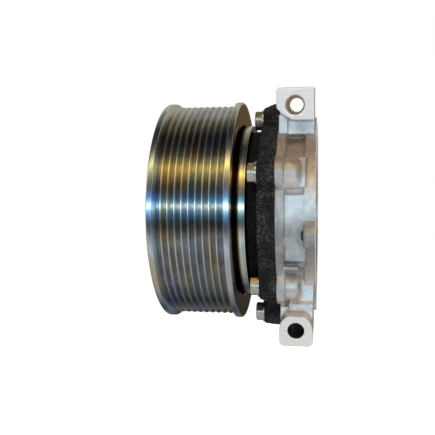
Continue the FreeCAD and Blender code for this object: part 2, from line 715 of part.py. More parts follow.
def stop_pads():
    pad = rod(PAD_SEAT, ARMATURE_FRONT, PAD_HALF, -PAD_R, 0)
    return each(pad, [a + PAD_OFFSET for a in ARM_ANGLES])


def leaf_springs():
    """Three flat springs, each from a hub arm to the armature further round."""
    near = polar(HUB_RIVET_R, 0)
    far = polar(ARMATURE_RIVET_R, SPRING_SWEEP)
    length = sqrt((far[0] - near[0]) ** 2 + (far[1] - near[1]) ** 2)
    reach = SPRING_HALF_WIDTH / length
    side = ((far[1] - near[1]) * reach, -(far[0] - near[0]) * reach)
    corners = [(near[0] + side[0], near[1] + side[1]), (far[0] + side[0], far[1] + side[1]),
               (far[0] - side[0], far[1] - side[1]), (near[0] - side[0], near[1] - side[1])]
    points = [Vector(HUB_REAR, y, z) for y, z in corners]
    strip = Part.Face(Part.makePolygon(points + [points[0]])).extrude(Vector(SPRING_T, 0, 0))
    ends = [rod(HUB_REAR, ARMATURE_FRONT, SPRING_EYE_R, *place) for place in (near, far)]
    leaf = joined([strip] + ends)
    for place in (near, far):
        leaf = leaf.cut(rod(HUB_REAR - EXTRA, ARMATURE_FRONT + EXTRA, RIVET_SHANK_R, *place))
    return each(leaf, ARM_ANGLES)


def hub_rivets():
    front = HUB_FRONT
    rear = ARMATURE_FRONT
    rivet = joined([cone(front - 1.5, front, 2.6, 4.0, -HUB_RIVET_R, 0),
                    rod(front, rear, RIVET_SHANK_R, -HUB_RIVET_R, 0),
                    cone(rear, rear + 1.3, 3.8, 2.6, -HUB_RIVET_R, 0)])
    return each(rivet, ARM_ANGLES)


RIVET_TAIL = (ARMATURE_REAR - 2.1, ARMATURE_REAR - 0.5, 3.6)   # ends and radius, below the friction face


def armature_rivet_tail(y, z):
    x0, x1, radius = RIVET_TAIL
    return cone(x0, x1, RIVET_SHANK_R, radius, y, z)


def armature_rivets():
    y, z = polar(ARMATURE_RIVET_R, SPRING_SWEEP)
    rivet = joined([cone(HUB_REAR - 1.3, HUB_REAR, 3.0, 4.2, y, z),
                    rod(HUB_REAR, RIVET_TAIL[0], RIVET_SHANK_R, y, z),
                    armature_rivet_tail(y, z)])
    return each(rivet, ARM_ANGLES)


def armature_plate():
    """Flat steel ring with three arc slots that steer the flux across the air gap."""
    ring = turned([
        (ARMATURE_FRONT, ARMATURE_R[0]),
        (ARMATURE_FRONT, ARMATURE_R[1] - 0.6),
        (ARMATURE_FRONT + 0.6, ARMATURE_R[1]),
        (ARMATURE_REAR, ARMATURE_R[1]),
        (ARMATURE_REAR, ARMATURE_R[0]),
    ])
    y, z = polar(ARMATURE_RIVET_R, SPRING_SWEEP)
    hole = joined([rod(ARMATURE_FRONT - EXTRA, RIVET_TAIL[0], RIVET_SHANK_R, y, z),
                   armature_rivet_tail(y, z),
                   rod(RIVET_TAIL[1], ARMATURE_REAR + EXTRA, RIVET_TAIL[2], y, z)])
    slot = sector(ARMATURE_FRONT - EXTRA, ARMATURE_REAR + EXTRA, 42.4, 44.2,
                  SPRING_SWEEP + 14.0, SPRING_SWEEP + 106.0)
    return ring.cut(each(hole, ARM_ANGLES) + each(slot, ARM_ANGLES))


NUT_WASHER = (HUB_FRONT - 1.0, HUB_FRONT + 0.6)
NUT_AF = 13.0


def hub_nut():
    seat = NUT_WASHER[0]
    nut = hex_prism(NUT_FRONT + 0.2, seat, NUT_AF)
    dome = cone(NUT_FRONT + 0.2, NUT_FRONT + 1.0, 6.3, 7.6).fuse(rod(NUT_FRONT + 1.0, seat, 7.6))
    return nut.common(dome).cut(rod(NUT_FRONT - EXTRA, seat + EXTRA, THREAD_R))


def nut_washer():
    return tube(NUT_WASHER[0], NUT_WASHER[1], THREAD_R + 0.2, 8.5)


def air_gap_shims():
    shims = []
    x = HUB_BOSS_REAR
    for thickness in SHIM_STACK:
        shims.append(tube(x, x + thickness, STUB_R + 0.05, 11.0))
        x += thickness
    return shims


# ---- write every node ---------------------------------------------------------
os.makedirs("parts", exist_ok=True)

save("pulley_rotor", pulley_rotor())
save("friction_lining", tube(WEB_FRONT, LINING_REAR, LINING_R[0], LINING_R[1]))
save("bearing_outer_ring", bearing_ring(RING_GAP[1], BEARING_OUTER_R))
save("bearing_inner_ring", bearing_ring(BEARING_BORE_R, RING_GAP[0]))
save("bearing_balls", bearing_balls())
save("bearing_cages", bearing_cages())
save("bearing_seals", bearing_seals())
save("bearing_retaining_ring", retaining_ring(*RING_GROOVE, 28.6, 32.3, 28.6, -90.0))
save("nose_retaining_ring", retaining_ring(*NOSE_RING_SPAN, NOSE_GROOVE_R, 22.4, 23.6, 90.0))

save("coil_housing", coil_housing())
save("coil_bobbin", coil_bobbin())
save("coil_winding", coil_winding())
save("coil_potting", coil_potting())
save("coil_retaining_ring", retaining_ring(*COIL_RING_SPAN, COIL_RING_GROOVE_R, 28.6, 29.6, 90.0))
save("coil_locating_pin", rod(CHANNEL_REAR + 0.4, COIL_REAR + 3.8, PIN_R, *polar(*PIN_AT)))
save("lead_grommet", lead_grommet())

save("front_head", front_head())
save("head_bolts", head_bolts())
save("head_washers", head_washers())
save("head_o_ring", Part.makeTorus(ORING_R, ORING_SECTION, Vector(FLANGE_REAR - ORING_SECTION, 0, 0), AXIS))
save("locating_dowels", locating_dowels())
save("drive_end_housing", drive_end_housing())

save("shaft_seal_case", seal_case())
save("shaft_seal_lip", seal_lip())
save("seal_retaining_ring", retaining_ring(*SEAL_RING_SPAN, 13.0, SEAL_RING_GROOVE_R, 12.4, 90.0))
save("dust_felt", tube(-1.6, 2.0, SEAL_LAND_R + 0.05, NOSE_BORE_R))

save("drive_shaft", drive_shaft())
save("hub_key", key_block())
save("thrust_washer", thrust_washer())
save("needle_shell", needle_shell())
save("needle_rollers", needle_rollers())
save("needle_cage", needle_cage())

save("hub", hub())
save("air_gap_shims", air_gap_shims())
save("hub_nut", hub_nut())
save("nut_washer", nut_washer())
save("hub_rivets", hub_rivets())
save("leaf_springs", leaf_springs())
save("stop_pads", stop_pads())
save("armature_plate", armature_plate())
save("armature_rivets", armature_rivets())
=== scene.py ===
"""Looks of the electromagnetic pulley clutch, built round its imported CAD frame. Metres."""
import json
import math

import bmesh
import bpy
from mathutils import Matrix, Vector


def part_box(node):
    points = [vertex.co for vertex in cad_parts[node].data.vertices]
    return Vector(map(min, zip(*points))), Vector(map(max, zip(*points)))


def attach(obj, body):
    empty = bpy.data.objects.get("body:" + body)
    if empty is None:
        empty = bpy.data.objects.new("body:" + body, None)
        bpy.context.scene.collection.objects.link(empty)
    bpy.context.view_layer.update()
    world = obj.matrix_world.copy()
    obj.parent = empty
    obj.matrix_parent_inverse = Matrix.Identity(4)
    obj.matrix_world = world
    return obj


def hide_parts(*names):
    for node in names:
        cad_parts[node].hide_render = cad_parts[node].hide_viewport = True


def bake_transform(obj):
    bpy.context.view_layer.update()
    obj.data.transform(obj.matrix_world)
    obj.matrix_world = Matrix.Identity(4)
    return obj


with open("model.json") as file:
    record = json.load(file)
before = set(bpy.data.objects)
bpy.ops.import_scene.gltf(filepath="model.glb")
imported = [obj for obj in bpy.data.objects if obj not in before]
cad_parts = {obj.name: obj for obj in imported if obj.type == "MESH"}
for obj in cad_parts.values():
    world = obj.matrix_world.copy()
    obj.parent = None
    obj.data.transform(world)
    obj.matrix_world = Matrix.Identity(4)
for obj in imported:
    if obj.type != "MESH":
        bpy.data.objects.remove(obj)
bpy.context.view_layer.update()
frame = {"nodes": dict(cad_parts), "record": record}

MM = 0.001
NODES = frame["nodes"]

# ---- stations read from the frame ---------------------------------------------
ROTOR_LOW, ROTOR_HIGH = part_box("pulley_rotor")
MID_X = (ROTOR_LOW[0] + ROTOR_HIGH[0]) / 2
RIM_R = ROTOR_HIGH[2]

# ---- colours and places that the finishes use ---------------------------------
SPOT_GREY = (0.42, 0.40, 0.36)
RUBBED_BRIGHT = (0.93, 0.93, 0.90)
# painted shade: the dimmed glancing reflection on shaded hidden faces
SHADE_GLANCING_TINT = (0.42, 0.36, 0.32)
# painted glints on the black coating's grains
GLINT_GREY = (0.32, 0.33, 0.34)
WORN_BROWN = (0.12, 0.10, 0.085)
CAST_TINTS = [(0.30, (0.56, 0.51, 0.48)), (0.48, (0.80, 0.76, 0.74)), (0.66, (0.98, 0.94, 0.92))]
MILLED_TINTS = [(0.3, (0.74, 0.69, 0.66)), (0.7, (0.86, 0.82, 0.79))]
# partly dirt and partly a painted warm reflection on the upper casting
BROWN_DIRT_AND_REFLECTION = (0.54, 0.41, 0.32)
# painted shade on the lower pad and the plate's rim
PAINTED_SHADE_GREY = (0.34, 0.325, 0.325)
STAIN_BROWN = (0.36, 0.29, 0.24)
EDGE_GREY = (0.88, 0.88, 0.88)
FASTENER_TINTS = [(0.25, (0.74, 0.66, 0.46)), (0.5, (0.78, 0.76, 0.70)), (0.75, (0.62, 0.62, 0.66))]
SCUFF_BROWN = (0.30, 0.27, 0.22)
RUBBED_WARM = (0.92, 0.91, 0.86)
WIRE_PITCH = 0.6 * MM
HEAD_BOSS_ENDS = -30.5 * MM
HEAD_FLANGE_STARTS = -29.0 * MM
EAR_TILT = math.radians(13.0)
EAR_FACE_Y = -45.0          # millimetres, where each hole's centre line meets its ear's face
EAR_STARTS_Z = 40.0         # millimetres above or below the shaft
# Each ear: X and Z of its hole on the face, its side of the shaft, how far the colour painted in its hole
# reaches from its centre line, and that colour; millimetres. The lower hole's near black is painted shade.
EARS = [(-11.0, 51.5, 1, 5.4, (0.80, 0.70, 0.60)), (-9.7, -63.5, -1, 4.6, (0.012, 0.011, 0.010))]


# ---- shader building blocks ---------------------------------------------------
class Shader:
    """A node material with short calls for the nodes used here."""

    def __init__(self, name):
        self.material = bpy.data.materials.new(name)
        self.material.use_nodes = True
        self.tree = self.material.node_tree
        self.tree.nodes.clear()
        self.out = self.tree.nodes.new("ShaderNodeOutputMaterial")
        self.surface = self.tree.nodes.new("ShaderNodeBsdfPrincipled")
        self.tree.links.new(self.surface.outputs[0], self.out.inputs[0])
        where = self.tree.nodes.new("ShaderNodeTexCoord")
        self.place = where.outputs["Object"]
        self.facing = where.outputs["Normal"]

    def put(self, socket, value):
        """Link another node's socket, or set a plain value."""
        if isinstance(value, bpy.types.NodeSocket):
            self.tree.links.new(value, socket)
        else:
            socket.default_value = value

    def set(self, **inputs):
        """Inputs of the surface, by name with _ for a space."""
        for name, value in inputs.items():
            self.put(self.surface.inputs[name.replace("_", " ")], value)

    def math(self, kind, a, b=0.0):
        node = self.tree.nodes.new("ShaderNodeMath")
        node.operation = kind
        for socket, value in zip(node.inputs, (a, b)):
            self.put(socket, value)
        return node.outputs[0]

    def times(self, a, b):
        return self.math("MULTIPLY", a, b)

    def plus(self, a, b):
        return self.math("ADD", a, b)

    def minus(self, a, b):
        return self.math("SUBTRACT", a, b)

    def largest(self, a, b):
        return self.math("MAXIMUM", a, b)

    def length(self, a, b):
        return self.math("SQRT", self.plus(self.math("POWER", a, 2.0), self.math("POWER", b, 2.0)))

    def vector(self, x, y, z):
        node = self.tree.nodes.new("ShaderNodeCombineXYZ")
        for socket, value in zip(node.inputs, (x, y, z)):
            self.put(socket, value)
        return node.outputs[0]

    def split(self, vector):
        node = self.tree.nodes.new("ShaderNodeSeparateXYZ")
        self.put(node.inputs[0], vector)
        return node.outputs

    def noise(self, where, scale, detail=3.0, roughness=0.55, distortion=0.0):
        node = self.tree.nodes.new("ShaderNodeTexNoise")
        for name, value in (("Vector", where), ("Scale", scale), ("Detail", detail),
                            ("Roughness", roughness), ("Distortion", distortion)):
            self.put(node.inputs[name], value)
        return node.outputs["Fac"]

    def cells(self, where, scale):
        node = self.tree.nodes.new("ShaderNodeTexVoronoi")
        self.put(node.inputs["Vector"], where)
        self.put(node.inputs["Scale"], scale)
        return node.outputs["Distance"]

    def span(self, value, low, high, to_low=0.0, to_high=1.0):
        """Smooth step from to_low at low to to_high at high."""
        node = self.tree.nodes.new("ShaderNodeMapRange")
        node.interpolation_type = "SMOOTHSTEP"
        for socket, given in zip(node.inputs[:5], (value, low, high, to_low, to_high)):
            self.put(socket, given)
        return node.outputs[0]

    def ramp(self, value, stops):
        node = self.tree.nodes.new("ShaderNodeValToRGB")
        bar = node.color_ramp
        while len(bar.elements) < len(stops):
            bar.elements.new(0.5)
        for element, (position, colour) in zip(bar.elements, stops):
            element.position = position
            element.color = (*colour, 1.0)
        self.put(node.inputs[0], value)
        return node.outputs[0]

    def mix(self, factor, a, b):
        node = self.tree.nodes.new("ShaderNodeMix")
        node.data_type = "RGBA"
        self.put(node.inputs["Factor"], factor)
        for name, value in (("A", a), ("B", b)):
            socket = [s for s in node.inputs if s.name == name and s.type == "RGBA"][0]
            self.put(socket, value if isinstance(value, bpy.types.NodeSocket) else (*value, 1.0))
        return [s for s in node.outputs if s.type == "RGBA"][0]

    def bump(self, height, strength, distance):
        node = self.tree.nodes.new("ShaderNodeBump")
        self.put(node.inputs["Strength"], strength)
        self.put(node.inputs["Distance"], distance)
        self.put(node.inputs["Height"], height)
        return node.outputs[0]

    def cylinder(self):
        """Station along the shaft, radius from it, and the cosine and sine of the angle round it."""
        x, y, z = self.split(self.place)
        radius = self.length(y, z)
        return x, radius, self.math("DIVIDE", y, radius), self.math("DIVIDE", z, radius)

    def edges(self, width):
        """1 on outside edges, 0 elsewhere, from the bevelled normal."""
        bevel = self.tree.nodes.new("ShaderNodeBevel")
        bevel.samples = 4
        self.put(bevel.inputs["Radius"], width)
        flat = self.tree.nodes.new("ShaderNodeNewGeometry").outputs["Normal"]
        dot = self.tree.nodes.new("ShaderNodeVectorMath")
        dot.operation = "DOT_PRODUCT"
        self.put(dot.inputs[0], bevel.outputs[0])
        self.put(dot.inputs[1], flat)
        return self.span(dot.outputs["Value"], 0.98, 0.85)


def turned_metal(name, tints, roughness, marks, mark_depth, groove_dirt_and_shade=None, painted_shades=()):
    """Turned and plated metal: rings cut by the tool, drifting plate colour, handling marks.

    The groove argument is (floor radius, crest radius, colour) and darkens the grooves towards their floors:
    belt dirt and painted shade. Each painted shade is (station, radius, colour):
    painted shade that darkens the colour and the glancing reflection, lying behind that station and inside
    that radius.
    """
    s = Shader(name)
    x, radius, across, up = s.cylinder()
    along = s.plus(x, radius)
    rings = s.noise(s.vector(s.times(along, marks), s.times(across, 0.25), s.times(up, 0.25)), 1.0, 4.0, 0.7)
    broad = s.noise(s.vector(s.times(along, marks * 0.12), across, up), 1.0, 2.0)
    drift = s.noise(s.vector(s.times(x, 150.0), s.plus(across, s.times(radius, 60.0)), s.times(up, 1.1)),
                    1.0, 3.0, 0.6, 0.6)
    colour = s.ramp(drift, tints)
    spots = s.noise(s.place, 420.0, 4.0, 0.65)
    colour = s.mix(s.span(spots, 0.62, 0.78, 0.0, 0.35), colour, SPOT_GREY)
    rough = s.plus(roughness, s.times(s.minus(broad, 0.5), 0.16))
    rough = s.plus(rough, s.times(s.minus(rings, 0.5), 0.12))
    if groove_dirt_and_shade:
        floor_r, crest_r, dirt_and_shade_colour = groove_dirt_and_shade
        # the grooves darken towards their floors: belt dirt, and painted shade down the grooves
        depth = s.span(radius, crest_r, floor_r)
        patchy = s.times(depth, s.span(s.noise(s.place, 160.0, 3.0), 0.25, 0.7, 0.55, 1.0))
        colour = s.mix(patchy, colour, dirt_and_shade_colour)
        rough = s.minus(rough, s.times(depth, 0.05))
    edge = s.edges(0.25 * MM)
    colour = s.mix(s.times(edge, 0.45), colour, RUBBED_BRIGHT)
    glancing = (1.0, 1.0, 1.0)
    # painted shade: behind each station and inside its radius the colour and the glancing reflection are
    # darkened
    for station, hollow_r, painted_light_and_dirt in painted_shades:
        behind = s.times(s.span(x, station - 0.2 * MM, station - 0.05 * MM),
                         s.span(radius, hollow_r, hollow_r - 0.25 * MM))
        colour = s.mix(behind, colour, painted_light_and_dirt)
        glancing = s.mix(behind, glancing, SHADE_GLANCING_TINT)
    tangent = s.tree.nodes.new("ShaderNodeTangent")
    tangent.direction_type = "RADIAL"
    tangent.axis = "X"
    s.set(Base_Color=colour, Metallic=1.0, Roughness=s.largest(rough, 0.05), Anisotropic=0.6,
          Tangent=tangent.outputs[0], Normal=s.bump(rings, 0.35, mark_depth))
    if painted_shades:
        s.set(Specular_Tint=glancing)
    return s.material


def cast_black(name):
    """Granular black coating over a casting, with grey specks painted as glints on its grains, and worn
    edges.
    """
    s = Shader(name)
    grain = s.noise(s.place, 1000.0, 4.0, 0.8)
    lumps = s.cells(s.place, 900.0)
    height = s.plus(grain, s.times(lumps, 0.7))
    colour = s.ramp(s.noise(s.place, 45.0, 4.0), [(0.3, (0.003, 0.003, 0.003)), (0.7, (0.007, 0.007, 0.007))])
    # painted glints: grey specks on the grains, more of them on the flange than on the boss
    painted_glint = s.span(s.noise(s.place, 1500.0, 2.0, 0.8), 0.50, 0.66)
    patch = s.span(s.noise(s.place, 120.0, 2.0), 0.35, 0.6, 0.25, 1.0)
    patch = s.times(patch, s.span(s.split(s.place)[0], HEAD_BOSS_ENDS, HEAD_FLANGE_STARTS, 0.06, 0.26))
    colour = s.mix(s.times(painted_glint, patch), colour, GLINT_GREY)
    worn = s.times(s.edges(0.5 * MM), s.span(s.noise(s.place, 240.0, 3.0), 0.48, 0.62))
    colour = s.mix(worn, colour, WORN_BROWN)
    rough = s.plus(0.42, s.times(grain, 0.3))
    s.set(Base_Color=colour, Roughness=rough, Specular_IOR_Level=0.13, Normal=s.bump(height, 1.0, 0.5 * MM))
    return s.material


def ear_frame(s, x, y, z, hole_x, hole_z):
    """Depth behind an ear's face and distance from its hole's centre line."""
    forward = s.minus(y, EAR_FACE_Y * MM)
    upward = s.minus(z, hole_z * MM)
    deep = s.plus(s.times(forward, math.cos(EAR_TILT)), s.times(upward, math.sin(EAR_TILT)))
    up = s.minus(s.times(upward, math.cos(EAR_TILT)), s.times(forward, math.sin(EAR_TILT)))
    return deep, s.length(s.minus(x, hole_x * MM), up)


def cast_aluminium(name):
    """As-cast aluminium with a sand-like skin, a brown that is partly dirt and partly a painted warm
    reflection, and painted shade; milled ear faces, drilled holes.
    """
    s = Shader(name)
    skin = s.noise(s.place, 900.0, 5.0, 0.7)
    pits = s.cells(s.place, 420.0)
    broad = s.noise(s.place, 75.0, 5.0, 0.62, 0.5)
    colour = s.ramp(broad, CAST_TINTS)
    x, y, z = s.split(s.place)
    nz = s.split(s.facing)[2]
    blotch = s.span(s.noise(s.place, 130.0, 4.0, 0.65, 0.8), 0.35, 0.62)
    # brown, partly dirt and partly a painted warm reflection: on the band under the upper ear and on faces
    # turned upwards in the upper half
    below_upper_ear = s.times(s.span(z, 11 * MM, 18 * MM), s.span(z, 39 * MM, 36 * MM))
    facing_up_high = s.times(s.span(nz, 0.1, 0.5), s.span(z, 4 * MM, 12 * MM))
    painted_light_and_dirt = s.largest(s.times(below_upper_ear, 0.85), facing_up_high)
    painted_light_and_dirt = s.times(painted_light_and_dirt, s.plus(0.62, s.times(blotch, 0.38)))
    colour = s.mix(painted_light_and_dirt, colour, BROWN_DIRT_AND_REFLECTION)
    # painted shade: the lower part of the pad and the plate's rim are painted a darker grey and made rougher
    pad_and_rim_shade = s.times(s.span(z, 0.0, -15 * MM), s.span(z, -40 * MM, -30 * MM))
    plate_rim = s.times(s.span(x, -15.6 * MM, -15.9 * MM), s.span(z, 38 * MM, 30 * MM))
    plate_rim = s.times(plate_rim, s.span(z, -48 * MM, -40 * MM, 0.0, 0.35))
    pad_and_rim_shade = s.largest(pad_and_rim_shade, plate_rim)
    colour = s.mix(s.times(pad_and_rim_shade, s.plus(0.55, s.times(blotch, 0.35))), colour, PAINTED_SHADE_GREY)
    stain = s.span(s.noise(s.place, 48.0, 4.0, 0.6, 1.2), 0.54, 0.70, 0.0, 0.5)
    colour = s.mix(stain, colour, STAIN_BROWN)
    colour = s.mix(s.times(s.edges(0.6 * MM), 0.4), colour, EDGE_GREY)
    rough = s.plus(s.plus(0.25, s.times(painted_light_and_dirt, 0.14)), s.times(skin, 0.26))
    rough = s.plus(rough, s.times(pad_and_rim_shade, 0.12))
    height = s.plus(skin, s.times(pits, 0.4))
    milled = s.span(x, -0.35 * MM, -0.2 * MM)
    drilled = 0.0
    bore_colour = (0.5, 0.5, 0.5)
    for hole_x, hole_z, side, hole_r, inside in EARS:
        deep, reach = ear_frame(s, x, y, z, hole_x, hole_z)
        outward = s.span(s.times(z, side), EAR_STARTS_Z * MM, (EAR_STARTS_Z + 2) * MM)
        face = s.times(s.span(deep, 0.45 * MM, 0.25 * MM), outward)
        milled = s.largest(milled, face)
        bore = s.times(s.times(s.span(reach, (hole_r + 0.5) * MM, (hole_r + 0.2) * MM), outward),
                       s.span(deep, 0.5 * MM, 1.2 * MM))
        # painted shade: the lower hole's bore is painted near black
        bore_colour = s.mix(bore, bore_colour, inside)
        drilled = s.largest(drilled, bore)
    strokes = s.noise(s.vector(s.times(x, 90.0), s.times(y, 90.0), s.times(z, 2600.0)), 1.0, 3.0, 0.6)
    colour = s.mix(milled, colour, s.ramp(strokes, MILLED_TINTS))
    colour = s.mix(drilled, colour, bore_colour)
    plain = s.minus(1.0, s.largest(milled, drilled))
    height = s.plus(s.times(height, plain), s.times(strokes, s.times(milled, 0.15)))
    metal = s.minus(s.minus(0.87, s.times(milled, 0.27)), s.times(drilled, 0.68))
    s.set(Base_Color=colour, Metallic=s.largest(metal, 0.1), Roughness=rough,
          Normal=s.bump(height, 0.6, 0.22 * MM))
    return s.material


def plated_fastener(name):
    """Zinc plate with a faint gold passivation, rubbed bright on its edges."""
    s = Shader(name)
    drift = s.noise(s.place, 130.0, 3.0, 0.6, 0.8)
    colour = s.ramp(drift, FASTENER_TINTS)
    scuffs = s.noise(s.place, 1400.0, 3.0, 0.7)
    colour = s.mix(s.span(scuffs, 0.6, 0.75, 0.0, 0.4), colour, SCUFF_BROWN)
    colour = s.mix(s.times(s.edges(0.3 * MM), 0.6), colour, RUBBED_WARM)
    s.set(Base_Color=colour, Metallic=1.0, Roughness=s.span(scuffs, 0.2, 0.8, 0.2, 0.42),
          Normal=s.bump(scuffs, 0.3, 0.05 * MM))
    return s.material


def plain_steel(name, light, dark, roughness):
    """Bare or thinly plated steel with a fine grain and rubbed edges."""
    s = Shader(name)
    texture = s.noise(s.place, 700.0, 4.0, 0.65)
    colour = s.ramp(s.noise(s.place, 60.0, 3.0), [(0.3, dark), (0.7, light)])
    colour = s.mix(s.times(s.edges(0.25 * MM), 0.5), colour, tuple(min(1.0, c * 1.5) for c in light))
    s.set(Base_Color=colour, Metallic=1.0,
          Roughness=s.span(texture, 0.2, 0.8, roughness - 0.08, roughness + 0.1),
          Normal=s.bump(texture, 0.3, 0.04 * MM))
    return s.material


def soft_part(name, light, dark, roughness, grain):
    """Rubber, plastic, felt or resin: a mottled colour over a grained surface."""
    s = Shader(name)
    texture = s.noise(s.place, grain, 5.0, 0.7)
    colour = s.ramp(s.noise(s.place, 90.0, 3.0), [(0.3, dark), (0.7, light)])
    s.set(Base_Color=colour, Roughness=s.span(texture, 0.2, 0.8, roughness - 0.1, roughness + 0.1),
          Normal=s.bump(texture, 0.5, 0.08 * MM))
    return s.material


def wound_copper(name):
    """Layers of enamelled wire, seen as fine rings."""
    s = Shader(name)
    x, radius, _, _ = s.cylinder()
    turns = s.math("SINE", s.times(s.plus(x, radius), 2 * math.pi / WIRE_PITCH))
    colour = s.ramp(s.noise(s.place, 200.0), [(0.3, (0.42, 0.15, 0.05)), (0.7, (0.72, 0.32, 0.12))])
    s.set(Base_Color=colour, Metallic=0.9, Roughness=0.32, Normal=s.bump(turns, 0.6, 0.15 * MM))
    return s.material


# ---- materials ----------------------------------------------------------------
PLATE_TINTS = [(0.30, (0.84, 0.66, 0.42)), (0.42, (0.72, 0.73, 0.64)), (0.50, (0.74, 0.78, 0.81)),
               (0.58, (0.52, 0.66, 0.84)), (0.70, (0.80, 0.57, 0.64))]
PALE_TINTS = [(0.30, (0.84, 0.74, 0.54)), (0.5, (0.82, 0.84, 0.84)), (0.66, (0.62, 0.76, 0.88))]
MATERIALS = {
    "pulley_plate": turned_metal("pulley_plate", PLATE_TINTS, 0.12, 5200.0, 0.03 * MM,
                                 # belt dirt and painted shade down the grooves
                                 groove_dirt_and_shade=(RIM_R - 4.9 * MM, RIM_R - 2.3 * MM, (0.38, 0.36, 0.35)),
                                 # painted shade on the pulley's rear face, darker and tinted gold
                                 painted_shades=[(ROTOR_HIGH[0], RIM_R - 1.0 * MM, (0.58, 0.44, 0.20))]),
    "coil_plate": turned_metal("coil_plate", PALE_TINTS, 0.11, 3800.0, 0.02 * MM,
                               # painted shade on the coil's body inside the pulley, near black
                               painted_shades=[(ROTOR_LOW[0], 48.7 * MM, (0.03, 0.028, 0.026))]),
    "armature_face": turned_metal("armature_face", [(0.3, (0.50, 0.50, 0.51)), (0.7, (0.64, 0.64, 0.65))],
                                  0.27, 4200.0, 0.03 * MM),
    "black_coating": cast_black("black_coating"),
    "housing_casting": cast_aluminium("housing_casting"),
    "fastener_plate": plated_fastener("fastener_plate"),
    "hub_plate": plain_steel("hub_plate", (0.70, 0.68, 0.58), (0.56, 0.56, 0.52), 0.3),
    "ground_steel": plain_steel("ground_steel", (0.66, 0.66, 0.68), (0.56, 0.56, 0.58), 0.18),
    "spring_blue": plain_steel("spring_blue", (0.30, 0.31, 0.35), (0.20, 0.21, 0.24), 0.28),
    "rivet_zinc": plain_steel("rivet_zinc", (0.66, 0.65, 0.60), (0.52, 0.52, 0.50), 0.34),
    "shaft_ground": plain_steel("shaft_ground", (0.62, 0.62, 0.64), (0.52, 0.52, 0.54), 0.2),
    "bronze_sheet": plain_steel("bronze_sheet", (0.62, 0.42, 0.18), (0.48, 0.31, 0.13), 0.3),
    "copper_wire": wound_copper("copper_wire"),
    "rubber_black": soft_part("rubber_black", (0.035, 0.035, 0.035), (0.018, 0.018, 0.018), 0.6, 900.0),
    "lining_brown": soft_part("lining_brown", (0.17, 0.12, 0.09), (0.08, 0.06, 0.05), 0.75, 1200.0),
    "cage_nylon": soft_part("cage_nylon", (0.72, 0.60, 0.36), (0.62, 0.50, 0.28), 0.42, 500.0),
    "bobbin_nylon": soft_part("bobbin_nylon", (0.80, 0.78, 0.70), (0.70, 0.68, 0.60), 0.45, 500.0),
    "potting": soft_part("potting", (0.10, 0.08, 0.06), (0.05, 0.04, 0.03), 0.3, 300.0),
    "felt_grey": soft_part("felt_grey", (0.50, 0.47, 0.42), (0.34, 0.32, 0.28), 0.85, 1500.0),
}
SLOT_MATERIALS = {
    "plated_steel": "pulley_plate",
    "plated_steel_ring": "coil_plate",
    "armature_steel": "armature_face",
    "hub_steel": "hub_plate",
    "black_casting": "black_coating",
    "cast_aluminium": "housing_casting",
    "plated_fastener": "fastener_plate",
    "friction_material": "lining_brown",
    "bearing_steel": "ground_steel",
    "cage_plastic": "cage_nylon",
    "seal_rubber": "rubber_black",
    "spring_steel": "spring_blue",
    "bobbin_plastic": "bobbin_nylon",
    "copper_winding": "copper_wire",
    "potting_resin": "potting",
    "felt": "felt_grey",
    "bronze": "bronze_sheet",
    "shaft_steel": "shaft_ground",
    "rivet_steel": "rivet_zinc",
}
for part in frame["record"]["subparts"]:
    node = NODES[part["node"]]
    for index in range(len(node.data.materials)):
        node.material_slots[index].material = MATERIALS[SLOT_MATERIALS[part["material_slot"]]]

# ---- mesh building blocks -----------------------------------------------------
# Outlines are in millimetres: X from the middle of the pulley, radii from the shaft's axis.
TURN_STEPS = 360            # one degree a step, so slots end on a step
SMOOTH_ANGLE = math.radians(32.0)


def arc_corners(outline, steps=6):
    """Closed outline of (x, r, fillet) corners, in millimetres, with each corner rounded by its fillet."""
    points = []
    count = len(outline)
    for i, (x, r, fillet) in enumerate(outline):
        here = Vector((x, r))
        before = Vector(outline[i - 1][:2]) - here
        after = Vector(outline[(i + 1) % count][:2]) - here
        if fillet <= 0:
            points.append(here)
            continue
        half = before.angle(after) / 2
        back = min(fillet / math.tan(half), before.length * 0.49, after.length * 0.49)
        start = here + before.normalized() * back
        end = here + after.normalized() * back
        for k in range(steps + 1):
            t = k / steps
            points.append(start * (1 - t) ** 2 + here * (2 * t * (1 - t)) + end * t ** 2)
    return points


def ring_point(x, r, step):
    """Point in metres at a whole step of the turn; step 0 is the ears' side and steps go upwards."""
    angle = 2 * math.pi * step / TURN_STEPS
    return (x * MM + MID_X, -r * math.cos(angle) * MM, r * math.sin(angle) * MM)


